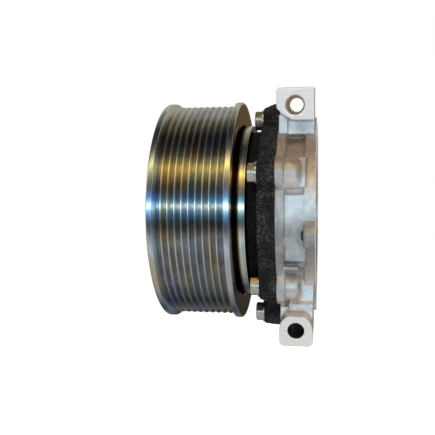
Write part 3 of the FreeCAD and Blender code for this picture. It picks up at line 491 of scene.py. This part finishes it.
def lathe(name, outline, slots=()):
    """Closed outline turned round the shaft.

    A slot is (inner r, outer r, first x, last x, centre in degrees, half angle) and goes right through a web.
    """
    bm = bmesh.new()
    points = arc_corners(outline)
    rings = [[bm.verts.new(ring_point(x, r, s)) for s in range(TURN_STEPS)] for x, r in points]

    def in_slot(a, b, step):
        """Whether the quad between two outline points lies in a slot's mouth."""
        for inner, outer, x0, x1, centre, half in slots:
            flat = abs(a.x - b.x) < 1e-6 and min(abs(a.x - x0), abs(a.x - x1)) < 1e-6
            within = min(a.y, b.y) > inner - 1e-6 and max(a.y, b.y) < outer + 1e-6
            away = abs((step + 0.5 - centre + 180) % 360 - 180)
            if flat and within and away < half:
                return True
        return False

    for i, ring in enumerate(rings):
        ahead = rings[(i + 1) % len(rings)]
        a, b = points[i], points[(i + 1) % len(rings)]
        for step in range(TURN_STEPS):
            nxt = (step + 1) % TURN_STEPS
            if not in_slot(a, b, step):
                bm.faces.new((ring[step], ahead[step], ahead[nxt], ring[nxt]))
    for inner, outer, x0, x1, centre, half in slots:
        first = round(centre - half)
        last = round(centre + half)
        loop = [(inner, s) for s in range(first, last + 1)] + [(outer, s) for s in range(last, first - 1, -1)]
        for (r_a, s_a), (r_b, s_b) in zip(loop, loop[1:] + loop[:1]):
            corners = (x0, r_a, s_a), (x0, r_b, s_b), (x1, r_b, s_b), (x1, r_a, s_a)
            bm.faces.new([bm.verts.new(ring_point(*corner)) for corner in corners])
    bmesh.ops.remove_doubles(bm, verts=bm.verts, dist=1e-7)
    return mesh_object(name, bm)


def join_rings(bm, ring, ahead):
    """Quads between two closed rings of vertices."""
    for k in range(len(ring)):
        n = (k + 1) % len(ring)
        bm.faces.new((ring[k], ring[n], ahead[n], ahead[k]))


def point_about(x, r, angle, centre=(0.0, 0.0)):
    """Point in metres at an angle about a line along the shaft's direction."""
    return (x * MM + MID_X, (centre[0] + r * math.cos(angle)) * MM, (centre[1] + r * math.sin(angle)) * MM)


def mesh_object(name, bm):
    """Scene object from a bmesh, smooth but for its sharp edges."""
    bmesh.ops.recalc_face_normals(bm, faces=bm.faces)
    for face in bm.faces:
        face.smooth = True
    for edge in bm.edges:
        edge.smooth = len(edge.link_faces) == 2 and edge.calc_face_angle(0.0) < SMOOTH_ANGLE
    mesh = bpy.data.meshes.new(name)
    bm.to_mesh(mesh)
    bm.free()
    obj = bpy.data.objects.new(name, mesh)
    bpy.context.scene.collection.objects.link(obj)
    return obj


def stand_in(obj, body, slot, *nodes):
    """A piece that stands for CAD nodes: it rides on their body and takes their finish."""
    obj.data.materials.clear()
    obj.data.materials.append(MATERIALS[SLOT_MATERIALS[slot]])
    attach(obj, body)
    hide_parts(*nodes)


def evaluated_copy(name, obj):
    """New object holding an object's mesh with its modifiers applied."""
    graph = bpy.context.evaluated_depsgraph_get()
    mesh = bpy.data.meshes.new_from_object(obj.evaluated_get(graph))
    copy = bpy.data.objects.new(name, mesh)
    bpy.context.scene.collection.objects.link(copy)
    return copy


def cast_copy(name, node, voxel, relax, lump, machined):
    """Casting made from a CAD node: its edges rounded and its skin roughened, but not where it is machined.

    machined(point) is 0 where a vertex is cut by a tool and 1 where it is as cast, in millimetres.
    """
    source = NODES[node]
    low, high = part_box(node)
    work = bpy.data.objects.new(name + "_work", source.data.copy())
    bpy.context.scene.collection.objects.link(work)
    remesh = work.modifiers.new("remesh", "REMESH")
    remesh.mode = "VOXEL"
    remesh.voxel_size = voxel * MM
    remesh.use_smooth_shade = True
    obj = evaluated_copy(name, work)
    bpy.data.objects.remove(work)
    group = obj.vertex_groups.new(name="as_cast")
    for vertex in obj.data.vertices:
        x, y, z = vertex.co / MM
        group.add([vertex.index], machined(x, y, z), "REPLACE")
    smooth = obj.modifiers.new("relax", "SMOOTH")
    smooth.factor = 0.6
    smooth.iterations = relax
    smooth.vertex_group = group.name
    skin = bpy.data.textures.new(name + "_skin", "CLOUDS")
    skin.noise_scale = 2.4 * MM
    skin.noise_depth = 3
    displace = obj.modifiers.new("skin", "DISPLACE")
    displace.texture = skin
    displace.texture_coords = "LOCAL"
    displace.strength = lump * MM
    displace.mid_level = 0.75
    displace.vertex_group = group.name
    finished = evaluated_copy(name, obj)
    bpy.data.objects.remove(obj)
    finished.name = name
    for vertex in finished.data.vertices:
        vertex.co = [min(max(c, a), b) for c, a, b in zip(vertex.co, low, high)]
    return finished


# ---- pulley -------------------------------------------------------------------
GROOVES = 10
PITCH = 3.56
CREST_R = 60.5
GROOVE_R = 57.4
RIM = 62.5
HALF_WIDTH = 21.4
GROOVE_SLOPE = math.tan(math.radians(20.0))
GROOVE_FLOOR = 0.275
MOUTH_EASE = 0.12           # widens a groove's mouth on each side
CREST_FILLET = 0.36
VALLEY_FILLET = 0.85
WEB = (-15.0, -10.0)
POLE_SLOTS = [(39.2, 41.2, *WEB, a, 22) for a in range(0, 360, 60)]
POLE_SLOTS += [(45.4, 47.4, *WEB, a, 22) for a in range(30, 390, 60)]


def pulley_outline():
    """Outline of the belt track, the poles and the bearing bore, from the front rim backwards."""
    rise = (RIM - GROOVE_R) * GROOVE_SLOPE + GROOVE_FLOOR
    crest = (CREST_R - GROOVE_R) * GROOVE_SLOPE + GROOVE_FLOOR + MOUTH_EASE
    apex_r = GROOVE_R - GROOVE_FLOOR / GROOVE_SLOPE
    centres = [(i - (GROOVES - 1) / 2) * PITCH for i in range(GROOVES)]
    outline = [(-HALF_WIDTH, RIM, 1.0), (centres[0] - rise, RIM, 0.5)]
    for centre in centres:
        if centre != centres[0]:
            outline.append((centre - crest, CREST_R, CREST_FILLET))
        outline.append((centre, apex_r, VALLEY_FILLET))
        if centre != centres[-1]:
            outline.append((centre + crest, CREST_R, CREST_FILLET))
    outline += [(centres[-1] + rise, RIM, 0.5), (HALF_WIDTH, RIM, 1.0)]
    outline += [(HALF_WIDTH, 49.6, 0.7), (WEB[1], 49.6, 1.2)]
    outline += [(WEB[1], r, 0.0) for r in (47.4, 45.4, 41.2, 39.2)]
    outline += [(WEB[1], 36.4, 1.0), (19.0, 36.4, 0.5), (19.0, 31.0, 0.4), (16.75, 31.0, 0.0),
                (16.75, 32.4, 0.0), (15.05, 32.4, 0.0), (15.05, 31.0, 0.0), (-9.0, 31.0, 0.0),
                (-9.0, 29.0, 0.3), (WEB[0], 29.0, 0.5)]
    outline += [(WEB[0], 39.2, 0.0), (WEB[0], 41.2, 0.0), (WEB[0], 42.2, 0.0), (WEB[0] + 1.2, 42.2, 0.0),
                (WEB[0] + 1.2, 44.4, 0.0), (WEB[0], 44.4, 0.0), (WEB[0], 45.4, 0.0), (WEB[0], 47.4, 0.0)]
    outline += [(WEB[0], 53.0, 0.6), (-HALF_WIDTH, 53.0, 0.6)]
    return outline


stand_in(lathe("pulley_turned", pulley_outline(), POLE_SLOTS), "pulley", "plated_steel", "pulley_rotor")

COIL = (-8.0, 27.1)
COIL_R = (37.0, 48.2)
COIL_RIM = (23.1, 49.0)
REGISTER_R = 26.02
COIL_BACK = 24.1


def coil_outline():
    """Outline of the shell: body inside the pulley, stepped rim with a turned line, flange and inner wall."""
    wall = 2.0
    inner, body = COIL_R
    rim_x, rim = COIL_RIM
    return [(COIL[0], body, 0.4), (rim_x, body, 0.3), (rim_x, rim, 0.35), (COIL[1] - 1.5, rim, 0.15),
            (COIL[1] - 1.35, rim - 0.2, 0.1), (COIL[1] - 1.1, rim - 0.2, 0.1), (COIL[1] - 0.95, rim, 0.15),
            (COIL[1], rim, 0.6), (COIL[1], REGISTER_R, 0.3), (COIL_BACK, REGISTER_R, 0.3),
            (COIL_BACK, inner, 0.8), (COIL[0], inner, 0.3), (COIL[0], inner + wall, 0.2),
            (COIL_BACK, inner + wall, 0.6), (COIL_BACK, body - wall, 0.6), (COIL[0], body - wall, 0.2)]


stand_in(lathe("coil_shell", coil_outline()), "mounting", "plated_steel_ring", "coil_housing")

# ---- castings -----------------------------------------------------------------
CUT_SKIN = 0.15             # how much of the cast skin a milled face or a drilled hole keeps
HOLE_REACH = 6.6            # millimetres from a hole's centre line
HOLE_DEPTH = 40.0


def housing_cast(x, y, z):
    """0 on the joint face, little on the ears' faces and in their holes, 1 on the cast skin."""
    if x > -0.4:
        return 0.0
    for hole_x, hole_z, side, _, _ in EARS:
        forward = y - EAR_FACE_Y
        upward = z - hole_z
        deep = forward * math.cos(EAR_TILT) + upward * math.sin(EAR_TILT)
        up = upward * math.cos(EAR_TILT) - forward * math.sin(EAR_TILT)
        near_hole = math.hypot(x - hole_x, up) < HOLE_REACH and deep < HOLE_DEPTH
        if z * side > EAR_STARTS_Z and (deep < 0.4 or near_hole):
            return CUT_SKIN
    return 1.0


def head_cast(x, y, z):
    """0 on the nose that carries the bearings and on the joint with the housing, 1 on the cast skin."""
    return 1.0 if -36.6 < x < -20.9 and math.hypot(y, z) > 40 else 0.0


stand_in(cast_copy("housing_cast", "drive_end_housing", 0.42, 6, 0.14, housing_cast),
         "mounting", "cast_aluminium", "drive_end_housing")
stand_in(cast_copy("head_cast", "front_head", 0.5, 3, 0.22, head_cast),
         "mounting", "black_casting", "front_head")


# ---- screws, nut and washers --------------------------------------------------
def hex_radius(half_flats, angle, soft):
    """Distance to a hexagon's side at an angle, with its corners rounded off."""
    within = angle % (math.pi / 3) - math.pi / 6
    sharp = half_flats / math.cos(within)
    return min(sharp, half_flats * 2 / math.sqrt(3) - soft) - 0.15 * soft * (within / (math.pi / 6)) ** 2


HEX_STEPS = 96
HEX_SOFT = 0.35             # rounding of the corners, and how far the end faces stay inside the flats
HEX_SLOPE = math.tan(math.radians(28.0))


def hex_body(bm, centre, x0, x1, flats, chamfer_front, chamfer_back, bore):
    """Hexagonal head or nut between two stations, with its corners turned down at the ends."""
    inner = flats / 2 - HEX_SOFT
    rows = []
    for kind, x in (("bore", x0), ("face", x0), ("edge", x0), ("edge", x1), ("face", x1), ("bore", x1)):
        row = []
        for k in range(HEX_STEPS):
            angle = 2 * math.pi * k / HEX_STEPS
            r, at = (bore if kind == "bore" else inner), x
            if kind == "edge":
                r = hex_radius(flats / 2, angle, HEX_SOFT)
                drop = max(0.0, r - inner) * HEX_SLOPE
                at += drop * chamfer_front if x == x0 else -drop * chamfer_back
            row.append(bm.verts.new(point_about(at, r, angle, centre)))
        rows.append(row)
    for row, ahead in zip(rows, rows[1:]):
        join_rings(bm, row, ahead)
    return rows


def tube_about(bm, centre, outline, steps=96):
    """Closed outline of (x, r, fillet) turned about a line along the shaft's direction."""
    rings = [[bm.verts.new(point_about(x, r, 2 * math.pi * k / steps, centre)) for k in range(steps)]
             for x, r in arc_corners(outline, 3)]
    for i, ring in enumerate(rings):
        join_rings(bm, ring, rings[(i + 1) % len(rings)])


def around(radius, degrees):
    """Y and Z in millimetres at an angle from the ears' side upwards."""
    angle = math.radians(degrees)
    return -radius * math.cos(angle), radius * math.sin(angle)


BOLTS = [around(52.0, a) for a in (73.0, 18.0, -54.0, -126.0, 150.0)] + [(0.0, -59.0)]
SEAT = 32.5
HEAD_TALL = 3.9
WASHER = (1.0, 3.2, 6.0)   # thickness, inner and outer radius
FLATS = 10.0
SHANK_R = 2.98
BOLT_END = 54.0
DISH = (3.1, 0.25)          # radius and depth of the hollow in a screw's head


def make_bolts():
    """Six hexagon screws, each with a hollow in its head."""
    bm = bmesh.new()
    for centre in BOLTS:
        rows = hex_body(bm, centre, SEAT - HEAD_TALL, SEAT, FLATS, 1.0, 0.0, DISH[0])
        dish = bm.verts.new(point_about(SEAT - HEAD_TALL + DISH[1], 0.0, 0.0, centre))
        for k in range(HEX_STEPS):
            bm.faces.new((rows[0][(k + 1) % HEX_STEPS], rows[0][k], dish))
        shank = [(SEAT - 0.3, 0.4, 0.0), (SEAT - 0.3, SHANK_R, 0.0), (BOLT_END - 0.8, SHANK_R, 0.2),
                 (BOLT_END, SHANK_R - 0.7, 0.1), (BOLT_END, 0.4, 0.0)]
        tube_about(bm, centre, shank, 48)
    return mesh_object("bolts_hex", bm)


def make_washers():
    """Six thin washers, rounded on the side that the punch came from."""
    bm = bmesh.new()
    thick, inner, outer = WASHER
    for centre in BOLTS:
        tube_about(bm, centre, [(SEAT, inner, 0.1), (SEAT, outer, 0.25), (SEAT + thick, outer, 0.12),
                                (SEAT + thick, inner, 0.1)])
    return mesh_object("washers_stamped", bm)


stand_in(make_bolts(), "mounting", "plated_fastener", "head_bolts")
stand_in(make_washers(), "mounting", "plated_fastener", "head_washers")

NUT = (-30.8, -25.0)
NUT_FLATS = 13.0
NUT_BORE = 4.05


def make_nut():
    """Hexagon nut with a plain bore."""
    bm = bmesh.new()
    rows = hex_body(bm, (0.0, 0.0), *NUT, NUT_FLATS, 1.0, 0.6, NUT_BORE)
    join_rings(bm, rows[-1], rows[0])
    return mesh_object("nut_hex", bm)


stand_in(make_nut(), "shaft", "plated_fastener", "hub_nut")

# ---- shaft --------------------------------------------------------------------
THREAD = (-32.5, -24.2, 4.0, 1.25)      # ends, radius and pitch
THREAD_DEPTH = 0.62
THREAD_ROWS = 160
SHAFT_STEPS = 96
SHAFT_CORE = 0.6            # radius of the flat in the middle of each end


def make_shaft():
    """Stepped shaft with a cut thread at its front end."""
    bm = bmesh.new()
    profile = arc_corners([
        (THREAD[1], 4.0, 0.0), (-20.4, 4.0, 0.0), (-20.4, 6.5, 0.0), (-19.9, 7.0, 0.3), (-3.0, 7.0, 0.2),
        (-3.0, 8.4, 0.0), (-1.8, 9.0, 0.3), (16.0, 9.0, 0.1), (16.5, 9.5, 0.1), (43.6, 9.5, 0.4),
        (43.6, 16.0, 0.5), (47.0, 16.0, 0.5), (47.0, 9.5, 0.4), (49.0, 9.5, 0.3), (49.0, 8.0, 0.4),
        (61.0, 8.0, 0.2), (62.0, 7.0, 0.2), (62.0, SHAFT_CORE, 0.0)])
    first, last, radius, pitch = THREAD
    rows = [[(first, SHAFT_CORE)] * SHAFT_STEPS, [(first, radius - 0.9)] * SHAFT_STEPS]
    for i in range(THREAD_ROWS):
        x = first + (last - first) * i / (THREAD_ROWS - 1)
        lead_in = min(radius - 0.05, radius - 0.6 + min(1.0, (x - first) / 0.9 + 0.05))
        run_out = min(1.0, (last - x) / 0.8)
        row = []
        for k in range(SHAFT_STEPS):
            phase = ((x - first) / pitch + k / SHAFT_STEPS) % 1.0
            depth = THREAD_DEPTH * min(1.0, max(0.0, 1.15 * (1 - abs(2 * phase - 1)) - 0.08))
            row.append((x, lead_in - depth * run_out))
        rows.append(row)
    rows += [[(p[0], p[1])] * SHAFT_STEPS for p in profile]
    rings = [[bm.verts.new(point_about(x, r, 2 * math.pi * k / SHAFT_STEPS)) for k, (x, r) in enumerate(row)]
             for row in rows]
    for ring, ahead in zip(rings, rings[1:]):
        join_rings(bm, ring, ahead)
    bm.faces.new(rings[0])
    bm.faces.new(rings[-1])
    return mesh_object("shaft_stepped", bm)


stand_in(make_shaft(), "shaft", "shaft_steel", "drive_shaft")

# ---- leaf springs -------------------------------------------------------------
LEAF = (-20.9, -20.1)
LEAF_HALF = 4.4
LEAF_EYE = 5.6
LEAF_EDGE = 0.12            # chamfer round the spring
HUB_RIVET_R = 25.0
ARM_RIVET_R = 41.0
SWEEP = 62.0


def make_leaf(index, start):
    """One flat spring from a hub arm to the armature, finely divided along its length."""
    near = Vector(around(HUB_RIVET_R, start))
    far = Vector(around(ARM_RIVET_R, start + SWEEP))
    along = (far - near).normalized()
    across = Vector((-along.y, along.x))
    length = (far - near).length
    stations = 72
    lanes = 8
    bm = bmesh.new()
    sheets = []
    for x, inset in ((LEAF[0], LEAF_EDGE), (LEAF[0] + LEAF_EDGE, 0.0), (LEAF[1] - LEAF_EDGE, 0.0),
                     (LEAF[1], LEAF_EDGE)):
        sheet = []
        for i in range(stations + 1):
            u = -LEAF_EYE + (length + 2 * LEAF_EYE) * (1 - math.cos(math.pi * i / stations)) / 2
            eyes = [math.sqrt(max(0.0, LEAF_EYE ** 2 - off ** 2)) for off in (u, u - length)]
            half = max(*eyes, LEAF_HALF if 0 < u < length else 0.0) - inset
            half = max(half, 0.02)
            row = [near + along * u + across * half * (2 * j / lanes - 1) for j in range(lanes + 1)]
            sheet.append([bm.verts.new((x * MM + MID_X, p.x * MM, p.y * MM)) for p in row])
        sheets.append(sheet)
    for sheet in (sheets[0], sheets[-1]):
        for i in range(stations):
            for j in range(lanes):
                bm.faces.new((sheet[i][j], sheet[i + 1][j], sheet[i + 1][j + 1], sheet[i][j + 1]))
    rims = [[s[i][0] for i in range(stations + 1)] + [s[stations][j] for j in range(1, lanes)]
            + [s[i][lanes] for i in range(stations, -1, -1)] + [s[0][j] for j in range(lanes - 1, 0, -1)]
            for s in sheets]
    for rim, ahead in zip(rims, rims[1:]):
        join_rings(bm, rim, ahead)
    leaf = mesh_object("leaf_%d" % index, bm)
    leaf.data.materials.append(MATERIALS[SLOT_MATERIALS["spring_steel"]])
    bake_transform(leaf)
    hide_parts("leaf_springs")


for index, start in enumerate((90.0, 210.0, 330.0)):
    make_leaf(index, start)

# ---- camera -------------------------------------------------------------------
CAMERA_AT = Vector((4.45, -351.41, -19.02)) * MM
CAMERA_YAW = 0.1774
CAMERA_PITCH = 0.0406
CAMERA_ROLL = 0.0124
LENS = 49.6                 # millimetres on a 36 mm sensor


def make_camera():
    """Camera placed as the photographer's, by a fit to the rims, crests and shaft axis."""
    data = bpy.data.cameras.new("camera")
    data.sensor_width = 36.0
    data.lens = LENS
    data.clip_start = 0.01
    data.clip_end = 20.0
    camera = bpy.data.objects.new("camera", data)
    bpy.context.scene.collection.objects.link(camera)
    turn = Matrix.Rotation(CAMERA_YAW, 3, "Z") @ Matrix.Rotation(math.pi / 2 + CAMERA_PITCH, 3, "X")
    turn = turn @ Matrix.Rotation(CAMERA_ROLL, 3, "Z")
    camera.matrix_world = Matrix.Translation(CAMERA_AT) @ turn.to_4x4()
    bpy.context.scene.camera = camera


make_camera()

# ---- studio -------------------------------------------------------------------
# What the bright metal mirrors, by angle round the shaft's direction: 0 is level on the ears'
# side, 90 overhead, 180 level behind, -90 underfoot. (degrees, colour, strength)
ROOM = [
    (-180, (0.98, 0.90, 0.82), 0.15),
    (-166, (0.95, 0.86, 0.86), 0.05),
    (-158, (0.95, 0.95, 1.00), 0.18),
    (-150, (0.90, 0.95, 1.00), 0.14),
    (-130, (0.75, 0.86, 1.00), 0.08),
    (-114, (0.95, 0.97, 1.00), 0.18),
    (-88, (1.00, 0.98, 0.95), 0.38),
    (-60, (0.98, 1.00, 0.98), 0.42),
    (-42, (0.95, 1.00, 1.00), 0.58),
    (-32, (1.00, 0.97, 0.92), 0.38),
    (-24, (1.00, 0.94, 0.92), 0.13),
    (-17, (0.46, 0.76, 1.00), 0.13),
    (-10, (0.32, 0.64, 1.00), 0.46),
    (-3, (0.36, 0.74, 1.00), 1.25),
    (1, (0.80, 0.95, 1.00), 3.60),
    (5, (0.20, 0.64, 1.00), 1.30),
    (11, (0.30, 0.62, 1.00), 0.50),
    (18, (0.90, 0.95, 1.00), 0.15),
    (26, (1.00, 0.87, 0.66), 0.20),
    (35, (1.00, 0.76, 0.34), 0.65),
    (45, (1.00, 0.74, 0.22), 1.90),
    (54, (1.00, 0.80, 0.42), 0.60),
    (62, (1.00, 0.83, 0.55), 0.12),
    (76, (0.97, 0.98, 0.95), 0.035),
    (88, (1.00, 0.92, 0.80), 0.025),
    (100, (1.00, 0.80, 0.55), 0.12),
    (116, (1.00, 0.87, 0.55), 0.26),
    (135, (1.00, 0.95, 0.80), 0.50),
    (154, (0.98, 0.96, 0.80), 0.40),
    (170, (1.00, 0.86, 0.55), 0.26),
    (180, (0.98, 0.90, 0.82), 0.15),
]
# Light in front of and behind the clutch, each from low down and from high up
FRONT_GLOW = ((0.14, 0.145, 0.15), (1.00, 1.02, 1.05))
REAR_GLOW = ((0.10, 0.085, 0.07), (0.10, 0.085, 0.07))
GLOW_ENDS = (0.80, 0.98)    # how far towards an end the room gives way to that end's glow
GLOW_HEIGHT = (-0.30, 0.42)
FILL = ((0.97, 0.98, 1.0, 1.0), 0.55)
WHITE = ((1.0, 1.0, 1.0, 1.0), 1.0)


def make_world():
    """The room for mirrored light, an even fill for scattered light, and white for the camera."""
    world = bpy.data.worlds.new("studio")
    world.use_nodes = True
    tree = world.node_tree
    tree.nodes.clear()

    def new(kind, **settings):
        node = tree.nodes.new(kind)
        for key, value in settings.items():
            setattr(node, key, value)
        return node

    def calc(kind, a, b=0.0):
        node = new("ShaderNodeMath", operation=kind)
        for socket, value in zip(node.inputs, (a, b)):
            if isinstance(value, bpy.types.NodeSocket):
                tree.links.new(value, socket)
            else:
                socket.default_value = value
        return node.outputs[0]

    def smooth_step(value, low, high):
        node = new("ShaderNodeMapRange", interpolation_type="SMOOTHSTEP")
        tree.links.new(value, node.inputs[0])
        node.inputs[1].default_value = low
        node.inputs[2].default_value = high
        return node.outputs[0]

    def background(colour, strength):
        node = new("ShaderNodeBackground")
        if isinstance(colour, bpy.types.NodeSocket):
            tree.links.new(colour, node.inputs[0])
        else:
            node.inputs[0].default_value = colour
        node.inputs[1].default_value = strength
        return node.outputs[0]

    def choose(ray, otherwise, shader):
        node = new("ShaderNodeMixShader")
        tree.links.new(rays.outputs[ray], node.inputs[0])
        tree.links.new(otherwise, node.inputs[1])
        tree.links.new(shader, node.inputs[2])
        return node.outputs[0]

    out = new("ShaderNodeOutputWorld")
    split = new("ShaderNodeSeparateXYZ")
    tree.links.new(new("ShaderNodeTexCoord").outputs["Generated"], split.inputs[0])
    x, y, z = split.outputs
    angle = calc("ARCTAN2", z, calc("MULTIPLY", y, -1.0))
    turn = calc("ADD", calc("DIVIDE", angle, 2 * math.pi), 0.5)
    ramp = new("ShaderNodeValToRGB")
    ramp.color_ramp.interpolation = "EASE"
    while len(ramp.color_ramp.elements) < len(ROOM):
        ramp.color_ramp.elements.new(0.5)
    brightest = max(strength for _, _, strength in ROOM)
    for element, (degrees, colour, strength) in zip(ramp.color_ramp.elements, ROOM):
        element.position = degrees / 360 + 0.5
        element.color = (*(c * strength / brightest for c in colour), 1.0)
    tree.links.new(turn, ramp.inputs[0])
    seen = ramp.outputs[0]
    for glow, side in ((FRONT_GLOW, -1.0), (REAR_GLOW, 1.0)):
        end = smooth_step(calc("MULTIPLY", x, side), *GLOW_ENDS)
        shade = new("ShaderNodeMix", data_type="RGBA")
        tree.links.new(smooth_step(z, *GLOW_HEIGHT), shade.inputs[0])
        for socket, colour in zip(shade.inputs[6:8], glow):
            socket.default_value = (*(c / brightest for c in colour), 1.0)
        blend = new("ShaderNodeMix", data_type="RGBA")
        tree.links.new(end, blend.inputs[0])
        tree.links.new(seen, blend.inputs[6])
        tree.links.new(shade.outputs[2], blend.inputs[7])
        seen = blend.outputs[2]
    rays = new("ShaderNodeLightPath")
    lit = choose("Is Glossy Ray", background(*FILL), background(seen, brightest))
    tree.links.new(choose("Is Camera Ray", lit, background(*WHITE)), out.inputs[0])
    bpy.context.scene.world = world


def area_light(name, at, toward, size, power, colour):
    """Soft rectangular light that the metal doesn't mirror."""
    data = bpy.data.lights.new(name, "AREA")
    data.shape = "RECTANGLE"
    data.size, data.size_y = size
    data.energy = power
    data.color = colour
    light = bpy.data.objects.new(name, data)
    light.location = at
    light.visible_glossy = False
    light.rotation_euler = (Vector(toward) - Vector(at)).to_track_quat("-Z", "Y").to_euler()
    bpy.context.scene.collection.objects.link(light)


FLOOR_HALF = 6.0
FLOOR_LEVEL = -0.20


def make_floor():
    """Pale level floor under the held part."""
    mesh = bpy.data.meshes.new("floor")
    corners = [(x * FLOOR_HALF, y * FLOOR_HALF, FLOOR_LEVEL) for x, y in ((-1, -1), (1, -1), (1, 1), (-1, 1))]
    mesh.from_pydata(corners, [], [(0, 1, 2, 3)])
    floor = bpy.data.objects.new("floor", mesh)
    bpy.context.scene.collection.objects.link(floor)
    s = Shader("floor_white")
    s.set(Base_Color=(0.60, 0.60, 0.60, 1.0), Roughness=0.9, Specular_IOR_Level=0.0,
          Emission_Color=(1.0, 1.0, 1.0, 1.0), Emission_Strength=0.75)
    floor.data.materials.append(s.material)
    floor.visible_glossy = False


make_world()
make_floor()
area_light("key", (-0.35, -0.75, 0.65), (-0.03, 0.0, 0.0), (0.5, 0.5), 6.0, (1.0, 0.98, 0.95))
area_light("side", (0.55, -0.7, 0.05), (-0.02, 0.0, 0.0), (0.3, 0.5), 3.0, (0.93, 0.97, 1.0))
scene = bpy.context.scene
scene.view_settings.view_transform = "Standard"
scene.view_settings.look = "None"
